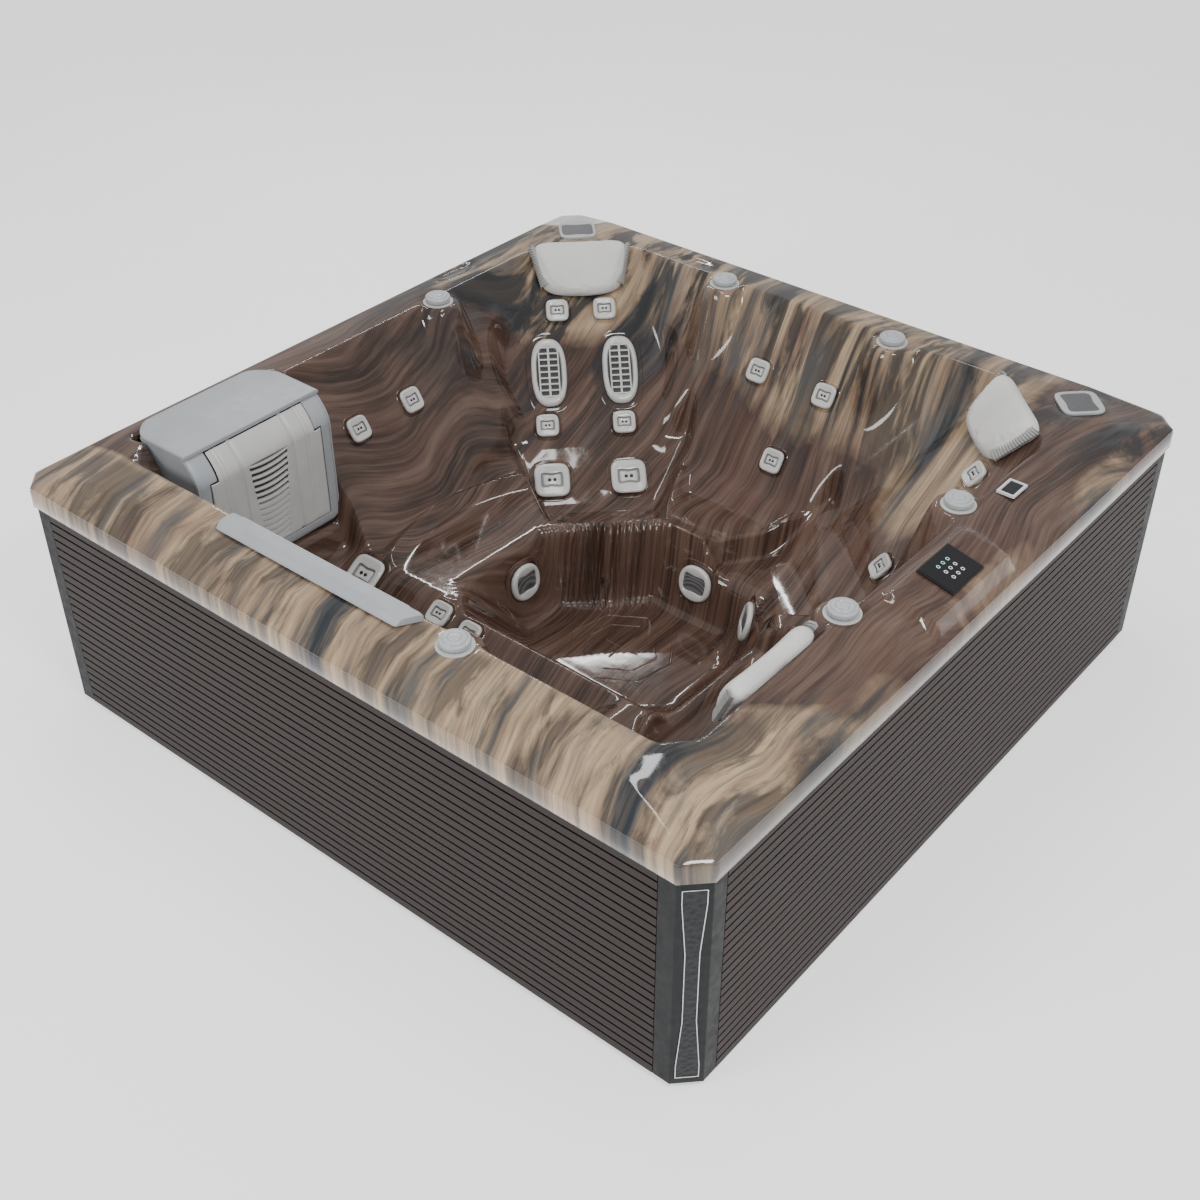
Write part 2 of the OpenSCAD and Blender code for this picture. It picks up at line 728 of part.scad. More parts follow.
jet_face_z = jet_flange_t + run_gap;
jet_pivot = 4;
module jet_face(i) {
    kind = jets[i][1];
    w = kind == "small" ? small_jet_w : large_jet_w;
    color("lightgray")
        face_to(jets[i][2], jets[i][3])
            difference() {
                union() {
                    translate([0, 0, jet_face_z])
                        linear_extrude(height = 7)
                            soft_square(w);
                    translate([0, 0, jet_face_z + 7])
                        linear_extrude(height = 3)
                            soft_square(w - 8);
                    translate([0, 0, -jet_pivot])
                        cylinder(r = w * 0.11, h = jet_face_z + jet_pivot + 1);
                }
                translate([0, 0, jet_face_z + 4])
                    linear_extrude(height = 10)
                        difference() {
                            bow_tie(w * 0.56, w * 0.5);
                            bow_tie(w * 0.48, w * 0.42);
                        }
                for (s = [-1, 1])
                    translate([0, s * w * 0.06, -30])
                        cylinder(r = w * 0.03, h = 60);
            }
}
module jet_corner_low_left() { jet_face(0); }
module jet_corner_low_right() { jet_face(1); }
module jet_corner_mid_left() { jet_face(2); }
module jet_corner_mid_right() { jet_face(3); }
module jet_corner_high_left() { jet_face(4); }
module jet_corner_high_right() { jet_face(5); }
module jet_back_right() { jet_face(6); }
module jet_back_left() { jet_face(7); }
module jet_right_high_back() { jet_face(8); }
module jet_right_high_front() { jet_face(9); }
module jet_right_low() { jet_face(10); }
module jet_nook_high() { jet_face(11); }
module jet_nook_mid() { jet_face(12); }
module jet_nook_low() { jet_face(13); }
module jet_lounge_knee() { jet_face(14); }
module jet_lounge_calf() { jet_face(15); }
module jet_lounge_foot() { jet_face(16); }

grille_size = [228, 116];
module grille_jets() {
    color("gainsboro")
        for (g = grilles)
            face_to(g, far_dir) {
                difference() {
                    translate([0, 0, fit_gap])
                        linear_extrude(height = 16)
                            intersection() {
                                circle(d = grille_size[0], $fn = 64);
                                square(grille_size, center = true);
                            }
                    for (i = [-4:4])
                        for (c = [-1, 0, 1])
                            translate([i * 20, c * 27, 14])
                                cube([12, 22, 16], center = true);
                }
                translate([0, 0, -58])
                    cylinder(r = small_r, h = 60);
                translate([0, 0, -32])
                    cylinder(r = small_r + 9, h = 12);
            }
}

module suction_covers() {
    color("gainsboro")
        for (s = suctions)
            face_to(well_point(s[0], s[1], s[2]), well_dir(s[0]))
                difference() {
                    union() {
                        translate([0, 0, fit_gap])
                            cylinder(d = suction_d, h = 10);
                        translate([0, 0, 10])
                            cylinder(d1 = suction_d, d2 = suction_d - 16, h = 6);
                        translate([0, 0, -40])
                            cylinder(r = 30, h = 44);
                    }
                    translate([0, 0, 12])
                        linear_extrude(height = 10)
                            bow_tie(suction_d * 0.62, suction_d * 0.58);
                    translate([0, 0, -50])
                        cylinder(r = 20, h = 50);
                }
}

module footwell_lamp() {
    color([0.1, 0.1, 0.1])
        face_to(well_point(footwell_light[0], footwell_light[1], footwell_light[2]),
            well_dir(footwell_light[0])) {
            translate([0, 0, fit_gap])
                cylinder(r = 21, h = 5);
            translate([0, 0, -30])
                cylinder(r = 12, h = 31);
            translate([0, 0, 5])
                linear_extrude(height = 4)
                    difference() {
                        soft_square(24);
                        soft_square(14);
                    }
        }
}

module speaker_rings() {
    color("silver")
        for (i = [0, 1])
            translate([speaker_sites[i][0], speaker_sites[i][1], speaker_floor])
                rotate([0, 0, speaker_turn[i]]) {
                    difference() {
                        union() {
                            translate([0, 0, fit_gap])
                                linear_extrude(height = 9)
                                    soft_square(speaker_w);
                            translate([0, 0, -50])
                                cylinder(r = 46, h = 52);
                        }
                        translate([0, 0, 3])
                            linear_extrude(height = 10)
                                bow_tie(speaker_w * 0.86, speaker_w * 0.8);
                    }
                }
}

module speaker_grilles() {
    color("gray")
        for (i = [0, 1])
            translate([speaker_sites[i][0], speaker_sites[i][1], speaker_floor])
                rotate([0, 0, speaker_turn[i]])
                    translate([0, 0, 3 + fit_gap])
                        linear_extrude(height = 5)
                            bow_tie(speaker_w * 0.86 - 1, speaker_w * 0.8 - 1);
}

// Sets children on the console's sloping top, their +Y pointing towards the water
module on_console() {
    translate([screen_mid[0], screen_mid[1],
            rim_top_z + mix(console_h[1], console_h[0],
                (screen_mid[1] - console_out) / (console_in - console_out))])
        rotate([console_tilt, 0, 0])
            children();
}

module touch_bezel() {
    color("gray")
        on_console()
            difference() {
                union() {
                    translate([-screen_size[0] / 2, -screen_size[1] / 2, fit_gap])
                        cube([screen_size[0], screen_size[1], 6]);
                    translate([0, 0, -24])
                        cylinder(r = 16, h = 26);
                }
                translate([3 - screen_size[0] / 2, 3 - screen_size[1] / 2, 3])
                    cube([screen_size[0] - 6, screen_size[1] - 6, 10]);
            }
}

module touch_screen() {
    color("black")
        on_console()
            translate([3 + fit_gap - screen_size[0] / 2, 3 + fit_gap - screen_size[1] / 2, 3 + fit_gap])
                cube([screen_size[0] - 6 - 2 * fit_gap, screen_size[1] - 6 - 2 * fit_gap, 4]);
}

module display_bezel() {
    color("white")
        translate([display_mid[0], display_mid[1], rim_top_z]) {
            difference() {
                translate([-display_size[0] / 2, -display_size[1] / 2, fit_gap])
                    cube([display_size[0], display_size[1], 7]);
                translate([6 - display_size[0] / 2, 6 - display_size[1] / 2, 5])
                    cube([display_size[0] - 12, display_size[1] - 12, 10]);
            }
            translate([0, 0, -22])
                cylinder(r = 12, h = 24);
        }
}

// ---------- filter ----------

door_x = [filter_l + 38, filter_r - 38];
door_z = [filter_low_z + 34, rim_top_z - 34];
door_hinge = [0, filter_face + 4, door_z[0] + run_gap + 6];

module filter_frame() {
    low = filter_low_z;
    top = rim_top_z + fit_gap;
    color("lightslategray")
        difference() {
            union() {
                translate([filter_l, filter_face, low])
                    cube([filter_r - filter_l, frame_t - fit_gap, top - low + 12]);
                translate([filter_l, filter_face, top])
                    cube([filter_r - filter_l, bay_back + 20 - filter_face, 12]);
            }
            translate([door_x[0], filter_face - 5, door_z[0]])
                cube([door_x[1] - door_x[0], 30, door_z[1] - door_z[0]]);
            // Bearings for the door's hinge pins
            for (x = [door_x[0] - 9, door_x[1] - 1])
                translate([x, door_hinge[1], door_hinge[2]])
                    rotate([0, 90, 0])
                        cylinder(r = 2.6, h = 10);
            for (s = [filter_l, filter_r])
                translate([s, bay_back + 20, top + 6])
                    rotate([0, 0, 45])
                        cube([60, 60, 30], center = true);
        }
}

module filter_door() {
    gap = run_gap;
    w = door_x[1] - door_x[0] - 2 * gap;
    h = door_z[1] - door_z[0] - 2 * gap;
    louvre_w = [136, 96];
    color("gainsboro")
        translate([door_x[0] + gap, filter_face + 0.5, door_z[0] + gap]) {
            difference() {
                cube([w, 7.5, h]);
                // Louvre openings, narrower towards the foot
                for (i = [0:11])
                    let (lw = mix(louvre_w[1], louvre_w[0], i / 11))
                        translate([w / 2 - lw / 2, -1, 20 + i * 22])
                            cube([lw, 11, 14]);
                for (s = [-1, 1])
                    translate([w / 2 + s * 92 - 5, -1, 20])
                        cube([10, 4, 262]);
                for (s = [-1, 1])
                    translate([w / 2 + s * 140 - 1.5, -1, -1])
                        cube([3, 3.5, h + 2]);
            }
            // Hinge pins at the foot
            for (x = [-gap - 6, w - 2])
                translate([x, door_hinge[1] - filter_face - 0.5, door_hinge[2] - door_z[0] - gap])
                    rotate([0, 90, 0])
                        cylinder(r = 2.55, h = gap + 8);
        }
}

module filter_cartridges() {
    r = 84;
    color("whitesmoke")
        for (x = [filter_l + 125, filter_r - 125])
            translate([x, (filter_face + bay_back) / 2 + 8, bay_z + fit_gap]) {
                cylinder(r = r, h = 12);
                difference() {
                    translate([0, 0, 12])
                        cylinder(r = r - 6, h = 380);
                    for (a = [0:15:345])
                        rotate([0, 0, a])
                            translate([r - 6, 0, 12])
                                cylinder(r = 5, h = 380, $fn = 16);
                }
                translate([0, 0, 392])
                    cylinder(r = r, h = 12);
                translate([0, 0, 404])
                    cylinder(r = 30, h = 20);
            }
}

// ---------- headrests ----------

rest_w = [225, 345];
rest_v = [-164, 22];
rest_t = 52;

// Headrest lying on a wall: +X down the slope, +Z out of the wall
module headrest(point, dir) {
    v = [-rest_v[0], -rest_v[1]];
    gap = 1.5;
    color("whitesmoke")
        face_to(point, dir)
            polyhedron(
                points = [
                    [v[0] - 12, -rest_w[0] / 2 + 12, gap], [v[0] - 12, rest_w[0] / 2 - 12, gap],
                    [v[1], rest_w[1] / 2 - 14, gap], [v[1], -rest_w[1] / 2 + 14, gap],
                    [v[0], -rest_w[0] / 2, rest_t * 0.45], [v[0], rest_w[0] / 2, rest_t * 0.45],
                    [v[1], rest_w[1] / 2, rest_t * 0.45], [v[1], -rest_w[1] / 2, rest_t * 0.45],
                    [v[0] - 16, -rest_w[0] / 2 + 26, rest_t], [v[0] - 16, rest_w[0] / 2 - 26, rest_t],
                    [v[1] + 12, rest_w[1] / 2 - 34, rest_t], [v[1] + 12, -rest_w[1] / 2 + 34, rest_t]],
                faces = [[0, 1, 2, 3], [11, 10, 9, 8],
                    [0, 4, 5, 1], [1, 5, 6, 2], [2, 6, 7, 3], [3, 7, 4, 0],
                    [4, 8, 9, 5], [5, 9, 10, 6], [6, 10, 11, 7], [7, 11, 8, 4]]);
}
module headrest_corner() { headrest(far_out * corner_at(rim_top_z) + along * 7 + up * rim_top_z, far_dir); }
module headrest_right() { headrest(right_out * corner_at(rim_top_z) + up * rim_top_z, nook_dir); }
module headrest_front() {
    headrest([-575, -inner_half, rim_top_z], unit([0, 1, 0.5]));
}

// ---------- waterfall ----------

module waterfall_bar() {
    x0 = bar_x[0];
    x1 = bar_x[1];
    z0 = rim_top_z + fit_gap;
    color("lightslategray")
        difference() {
            union() {
                translate([0, bar_y[1], 0])
                    rotate([90, 0, 0])
                        linear_extrude(height = bar_y[1] - bar_y[0])
                            polygon([[x0, z0], [x1, z0], [x1, z0 + bar_h], [x0 + 22, z0 + bar_h]]);
                translate([x0 + 30, 135, rim_top_z - 30])
                    cylinder(r = 14, h = 34);
            }
            // Slanted end
            translate([x1, bar_y[0] - 30, z0 - 1])
                rotate([0, 0, 30])
                    translate([-200, -100, 0])
                        cube([300, 100, 60]);
            // Groove that the lip sits in
            translate([x1 - 6, bar_y[0] + 50, z0 + 4])
                cube([10, bar_y[1] - bar_y[0] - 80, bar_h - 8]);
        }
}

module waterfall_lip() {
    color("white")
        translate([bar_x[1] - 6 + fit_gap, bar_y[0] + 50 + fit_gap, rim_top_z + 4 + 2 * fit_gap])
            cube([10, bar_y[1] - bar_y[0] - 80 - 2 * fit_gap, bar_h - 8 - 2 * fit_gap]);
}

base_pan();
frame();
shell();
panel_front();
panel_back();
panel_left();
panel_right();
corner_posts();
light_bezels();
light_lenses();
insulation();
pump_left();
pump_right();
heater();
control_box();
air_blower();
pipework();
drain_valve();
valve_bodies();
jet_bodies();
grille_jets();
suction_covers();
footwell_lamp();
speaker_rings();
speaker_grilles();
touch_bezel();
touch_screen();
display_bezel();
filter_frame();
filter_cartridges();
headrest_corner();
headrest_right();
headrest_front();
waterfall_bar();
waterfall_lip();
filter_door();
knob_back();
knob_right_back();
knob_right_front();
knob_front_right();
knob_front_left();
knob_left();
jet_corner_low_left();
jet_corner_low_right();
jet_corner_mid_left();
jet_corner_mid_right();
jet_corner_high_left();
jet_corner_high_right();
jet_back_right();
jet_back_left();
jet_right_high_back();
jet_right_high_front();
jet_right_low();
jet_nook_high();
jet_nook_mid();
jet_nook_low();
jet_lounge_knee();
jet_lounge_calf();
jet_lounge_foot();
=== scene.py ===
"""Looks for a square acrylic hot tub: a glossy marbled shell with turning jets and knobs,
padded headrests, a moulded filter front and a slatted cabinet. Metres, +Z up, front to -Y."""

import json
import math

import bpy
import numpy as np
from mathutils import Matrix, Vector


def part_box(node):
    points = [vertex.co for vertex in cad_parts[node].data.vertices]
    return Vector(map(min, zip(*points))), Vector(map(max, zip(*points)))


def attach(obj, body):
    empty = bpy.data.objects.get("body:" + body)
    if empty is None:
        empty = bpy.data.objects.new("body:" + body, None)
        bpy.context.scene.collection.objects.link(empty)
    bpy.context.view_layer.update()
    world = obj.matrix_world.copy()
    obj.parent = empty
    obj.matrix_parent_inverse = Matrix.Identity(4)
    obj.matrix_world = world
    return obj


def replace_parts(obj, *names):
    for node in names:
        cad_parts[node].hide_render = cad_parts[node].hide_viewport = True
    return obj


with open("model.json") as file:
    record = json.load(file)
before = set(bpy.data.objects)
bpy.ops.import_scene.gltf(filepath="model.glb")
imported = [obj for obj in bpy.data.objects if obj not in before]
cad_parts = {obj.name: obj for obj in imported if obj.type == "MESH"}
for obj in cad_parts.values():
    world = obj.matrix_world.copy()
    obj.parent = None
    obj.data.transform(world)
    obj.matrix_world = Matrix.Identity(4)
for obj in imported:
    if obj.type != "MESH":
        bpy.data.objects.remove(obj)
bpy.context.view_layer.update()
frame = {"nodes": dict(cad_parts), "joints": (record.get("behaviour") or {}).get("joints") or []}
nodes = frame["nodes"]
joints = {j["child"]: j for j in frame["joints"]}

# ---- driving sizes, the same as in the CAD ----

R2 = math.sqrt(2)
# Rim: half-width, underside, top, height of its upright band, width of its sloping facet,
# how much its flat falls outwards, corner cut
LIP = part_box("shell")[1].x
LIP_Z = 0.676
TOP = 0.808
BAND = 0.06
FACET = 0.08
FALL = 0.015
CHAMFER = 0.058
CREST_END = 0.898
# Basin: where its straight and corner walls meet the rim, and the levels of its floors
INNER = LIP - 0.208
REACH = LIP
FAR_REACH = REACH + 0.135
SEAT = 0.318
WELL = 0.062
BUCKET = SEAT - 0.1
LOUNGE = SEAT - 0.068
# Metres out for each metre up, for each kind of wall
SIDE_RUN, LEFT_RUN, FRONT_RUN, CORNER_RUN, NOOK_RUN = 0.665, 0.15, 0.5, 1.0, 0.5
KNOB_FLOOR = TOP - 0.008

FAR, RIGHT, NEAR, LEFT = [np.array(d) / R2 for d in ((1, 1), (1, -1), (-1, -1), (-1, 1))]

WELL_LOW = [(-.15, -.33), (.1, -.33), (.238, -.23), (.238, .075), (.05, .258),
            (-.12, .262), (-.215, .18), (-.215, -.26)]
WELL_TOP = [(-.38, -.51), (.11, -.49), (.3, -.27), (.292, .032), (.017, .3),
            (-.33, .3), (-.42, .2), (-.464, -.424)]


# ---- small maths ----

def unit(v):
    v = np.asarray(v, float)
    return v / np.linalg.norm(v)


def smax(a, b, k):
    h = np.clip(0.5 + 0.5 * (a - b) / k, 0, 1)
    return b + (a - b) * h + k * h * (1 - h) * 0.5


def smin(a, b, k):
    return -smax(-a, -b, k)


def step(a, b, x):
    t = np.clip((x - a) / (b - a), 0, 1)
    return t * t * (3 - 2 * t)


def axes_on(direction):
    """Local X down the slope, Y across and Z out, for a piece that lies on a wall."""
    z = unit(direction)
    y = unit(np.cross((0, 0, 1.0), z)) if abs(z[2]) < 0.999 else np.array((0, 1.0, 0))
    return np.cross(y, z), y, z


def well_point(i, s, t):
    low = [np.append(WELL_LOW[(i + k) % 8], WELL) for k in (0, 1)]
    top = [np.append(WELL_TOP[(i + k) % 8], SEAT) for k in (0, 1)]
    return (low[0] * (1 - s) + low[1] * s) * (1 - t) + (top[0] * (1 - s) + top[1] * s) * t


def well_dir(i):
    a = well_point(i, 0, 0)
    return unit(np.cross(well_point(i, 1, 1) - a, well_point(i, 1, 0) - a))


def on_corner(out, side, z, s):
    return np.append(out * (REACH - (TOP - z)) + np.asarray(side) * s, z)


# ---- where the fittings are ----

jets = {n: j for n, j in joints.items() if n.startswith("jet_")}
knobs = {n: j for n, j in joints.items() if n.startswith("knob_")}
LARGE_JET = 0.114
SMALL_JET = 0.074
BETWEEN_JETS = 0.055


def jet_width(name):
    middle = Vector(joints[name]["pos_m"])
    radius = max((v.co - middle).length for v in nodes[name].data.vertices)
    return LARGE_JET if radius > BETWEEN_JETS else SMALL_JET


FAR_DIR = unit((-0.5, -0.5, 1 / R2))
ALONG = (-1 / R2, 1 / R2)
grilles = [(on_corner(FAR, ALONG, SEAT + 0.197, s), FAR_DIR) for s in (0.134, -0.099)]
suctions = [(well_point(i, s, t), well_dir(i)) for i, s, t in
            ((2, 0.49, 0.45), (1, 0.38, 0.58), (4, 0.46, 0.57))]
footwell_lamp = (well_point(3, 0.5, 0.24), well_dir(3))
speakers = [((LIP - 0.226, LIP - 0.225), 45), ((LIP - 0.208, 0.231 - LIP), -45)]
SPEAKER_W = 0.124
SPEAKER_Z = TOP - 0.006
# Radius of the flat seat under each fitting, a jet's as a share of its width
JET_SEAT, GRILLE_SEAT, COVER_SEAT, LAMP_SEAT = 0.62, 0.13, 0.066, 0.03


# ---- the shell as a height over the plan ----

def frustum(x, y, low, top, soft, flare=7):
    """Height of the sides of a pocket between two outlines, each (height, points)."""
    height = np.full_like(x, low[0])
    n = len(low[1])
    for i in range(n):
        a, b = [np.append(low[1][(i + k) % n], low[0]) for k in (0, 1)]
        c = np.append(top[1][i], top[0])
        nrm = np.cross(b - a, c - a)
        if abs(nrm[2]) < 1e-6:
            continue
        plane = a[2] - (nrm[0] * (x - a[0]) + nrm[1] * (y - a[1])) / nrm[2]
        height = smax(height, plane, soft)
    # Above its mouth the pocket opens out at once, so that it cuts nothing there
    return height + flare * np.maximum(height - top[0], 0)


def bucket_outline(out, low, high, half):
    side = np.array((-out[1], out[0]))
    if side @ np.array((1, 1)) < -1e-9:
        side = -side
    pts = [out * low - side * half * 0.8, out * high - side * half,
           out * high + side * half, out * low + side * half * 0.8]
    area = sum(p[0] * q[1] - p[1] * q[0] for p, q in zip(pts, pts[1:] + pts[:1]))
    return pts if area > 0 else pts[::-1]


def rect(x0, x1, y0, y1):
    return [(x0, y0), (x1, y0), (x1, y1), (x0, y1)]


BUCKET_TOP = SEAT + 0.04
BUCKET_REACH = REACH - (TOP - BUCKET_TOP)
BUCKET_LOW = BUCKET_REACH - 4 / 3 * (BUCKET_TOP - BUCKET)
# Pockets in the basin, each with its lower outline, its mouth and its softness
pockets = [((BUCKET, bucket_outline(out, 0.33, BUCKET_LOW, 0.19)),
            (BUCKET_TOP, bucket_outline(out, 0.27, BUCKET_REACH, 0.28)), 0.05) for out in (FAR, RIGHT)]
pockets += [
    ((LOUNGE, rect(-0.8, -0.52, -0.26, 0.66)),
     (SEAT + 0.012, rect(-0.87, -0.4, -0.4, 0.72)), 0.04),
    ((SEAT - 0.03, rect(0.35, 0.54, -0.19, 0.15)),
     (SEAT + 0.012, rect(0.31, 0.6, -0.23, 0.19)), 0.03),
    ((SEAT - 0.03, rect(-0.56, -0.12, -0.7, -0.56)),
     (SEAT + 0.012, rect(-0.62, -0.06, -0.74, -0.52)), 0.03)]


def rim_height(x, y):
    ax, ay = np.abs(x), np.abs(y)
    edge = np.minimum(np.minimum(LIP - ax, LIP - ay), (2 * LIP - CHAMFER - ax - ay) / R2)
    low = LIP_Z + BAND
    rise = low + (TOP - FALL - low) * edge / FACET
    crown = TOP - FALL + FALL * np.clip(edge - FACET, -0.05, 1) / 0.106
    corner = TOP - FALL - 0.26 * ((ax + ay) / R2 - (LIP - FACET + CREST_END) / R2)
    return smin(smin(smin(rise, crown, 0.004), corner, 0.006), TOP, 0.012)


def basin_height(x, y):
    far, right, near, left = [x * d[0] + y * d[1] for d in (FAR, RIGHT, NEAR, LEFT)]
    planes = [(x, INNER, SIDE_RUN), (y, INNER, SIDE_RUN), (-x, INNER, LEFT_RUN),
              (-y, INNER, FRONT_RUN), (far, REACH, CORNER_RUN), (right, REACH, CORNER_RUN),
              (near, FAR_REACH, NOOK_RUN), (left, FAR_REACH, NOOK_RUN)]
    height = np.full_like(x, SEAT)
    for dist, reach, run in planes:
        height = smax(height, TOP - (reach - dist) / run, 0.06)
    return height


def ridge_height(x, y, start, end, low, high, half):
    """A long crest between two seats."""
    a, b = np.array(start), np.array(end)
    d = b - a
    t = ((x - a[0]) * d[0] + (y - a[1]) * d[1]) / (d @ d)
    off = np.abs((x - a[0]) * d[1] - (y - a[1]) * d[0]) / math.sqrt(d @ d)
    crest = low + (high - low) * np.clip(t, 0, 1)
    fade = step(-0.12, 0.1, t)
    return SEAT - 0.1 + (crest - SEAT + 0.1) * np.exp(-(off / half) ** 2) * fade


def inside(x, y, x0, x1, y0, y1, soft):
    return (step(x0 - soft, x0, x) * step(-x1 - soft, -x1, -x)
            * step(y0 - soft, y0, y) * step(-y1 - soft, -y1, -y))


filter_lo, filter_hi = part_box("filter_frame")
console_lo, console_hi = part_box("touch_bezel")
CONSOLE_X = (-0.19, 0.17)
CONSOLE_Y = (-INNER - 0.18, -INNER - 0.043)


# Crests between seats: start, end, height at each, half-width
RIDGES = (((-0.01, -0.48), (-0.01, -0.8), SEAT + 0.02, 0.56, 0.05),
          ((-0.425, -0.47), (-0.76, -0.76), SEAT + 0.02, 0.54, 0.075))
# Shallow cups in the rim: middle, half-widths, depth
CUPS = ((0.446, 1.039, 0.105, 0.038, 0.01), (0.988, 0.455, 0.04, 0.1, 0.01),
        (0.961, -0.405, 0.04, 0.085, 0.008))


def height(x, y):
    """Height of the shell's wet surface over a point of the plan."""
    basin = basin_height(x, y)
    for ridge in RIDGES:
        basin = smax(basin, ridge_height(x, y, *ridge), 0.03)
    # Raised crescent between the back seat and its wall
    arc = np.hypot(x + 0.1, y - 0.02)
    crescent = SEAT + 0.035 * np.exp(-((arc - 0.6) / 0.022) ** 2) * step(-0.1, 0.2, y)
    basin = smax(basin, crescent, 0.02)
    for low, top, soft in pockets:
        basin = smin(basin, frustum(x, y, low, top, soft), 0.025)
    footwell = frustum(x, y, (WELL, WELL_LOW), (SEAT, WELL_TOP), 0.035, 3)
    basin = smin(basin, footwell, 0.022)
    # Pods that carry the knobs at the edge of the rim
    from_knobs = [np.hypot(x - j["pos_m"][0], y - j["pos_m"][1]) for j in knobs.values()]
    for d in from_knobs:
        basin = smax(basin, TOP - 0.002 - np.maximum(d - 0.066, 0) * 3.2, 0.03)
    # The filter's recess and the bay behind it
    recess = inside(x, y, filter_lo.x + 0.014, filter_hi.x - 0.014, 0.57,
                    filter_lo.y + 0.056, 0.014)
    basin = basin * (1 - recess) + np.minimum(basin, filter_lo.z - 0.006) * recess
    surface = smin(basin, rim_height(x, y), 0.016)
    bay = inside(x, y, filter_lo.x + 0.024, filter_hi.x - 0.024, filter_lo.y + 0.056,
                 INNER + 0.035, 0.01)
    surface = surface * (1 - bay) + (SEAT - 0.078) * bay
    # Wells round the knobs, and shallow cups in the rim
    for d in from_knobs:
        surface = surface - (surface - KNOB_FLOOR) * (1 - step(0.049, 0.058, d))
    for (sx, sy), _ in speakers:
        d = np.hypot(x - sx, y - sy)
        surface = surface - (surface - SPEAKER_Z) * (1 - step(0.076, 0.084, d))
    for cx, cy, rx, ry, depth in CUPS:
        surface = surface - depth * (1 - step(0.62, 1.0, np.hypot((x - cx) / rx, (y - cy) / ry)))
    # Raised console under the touch panel
    on = inside(x, y, CONSOLE_X[0], CONSOLE_X[1], CONSOLE_Y[0], CONSOLE_Y[1], 0.014)
    slope = (y - CONSOLE_Y[0]) / (CONSOLE_Y[1] - CONSOLE_Y[0])
    top = TOP - 0.014 + 0.03 * np.clip(slope, 0, 1)
    surface = surface * (1 - on) + np.maximum(top, surface) * on
    # Flat seats for the jets, grilles, covers and lamp, flush with their walls
    flush = [(j["pos_m"], j["axis"], jet_width(n) * JET_SEAT) for n, j in jets.items()]
    flush += [(p, d, GRILLE_SEAT) for p, d in grilles]
    flush += [(p, d, COVER_SEAT) for p, d in suctions] + [footwell_lamp + (LAMP_SEAT,)]
    for p, d, r in flush:
        plane = p[2] - (d[0] * (x - p[0]) + d[1] * (y - p[1])) / d[2] if abs(d[2]) > 0.05 else surface
        dist = np.sqrt((x - p[0]) ** 2 + (y - p[1]) ** 2 + (plane - p[2]) ** 2)
        w = 1 - step(r, r * 1.5, dist)
        surface = surface * (1 - w) + plane * w
    return surface


# ---- colour fields of the marble ----

def tone(x, y):
    """Shares of (cream marble, streak strength) over the plan."""
    far = (x + y) / R2
    cream = np.maximum.reduce([
        step(-0.9, -0.99, x), step(1.1, 1.3, -far), 0.8 * step(0.8, 1.02, far),
        0.58 * step(0.62, 0.86, x) * step(-0.95, -0.45, y),
        0.55 * step(0.3, 0.62, x) * step(-0.3, -0.55, y) * step(-0.95, -0.75, y),
        0.42 * step(-INNER - 0.1, -INNER - 0.17, y), 0.3 * step(INNER + 0.02, INNER + 0.1, y)])
    streak = np.maximum.reduce([
        step(0.5, 0.95, far), step(0.55, 0.85, x) * 0.9, 0.7 * step(1.05, 1.25, -far),
        0.75 * step(-0.93, -0.98, x)])
    return cream, streak


def paint(mesh):
    co = np.array([v.co for v in mesh.vertices], float).reshape(-1, 3)
    for name, values in zip(("cream", "streak"), tone(co[:, 0], co[:, 1])):
        layer = mesh.attributes.new(name, "FLOAT", "POINT")
        layer.data.foreach_set("value", values.astype(np.float32))


# ---- materials ----

# Depth of the finest grain
FINE_BUMP = 0.0006


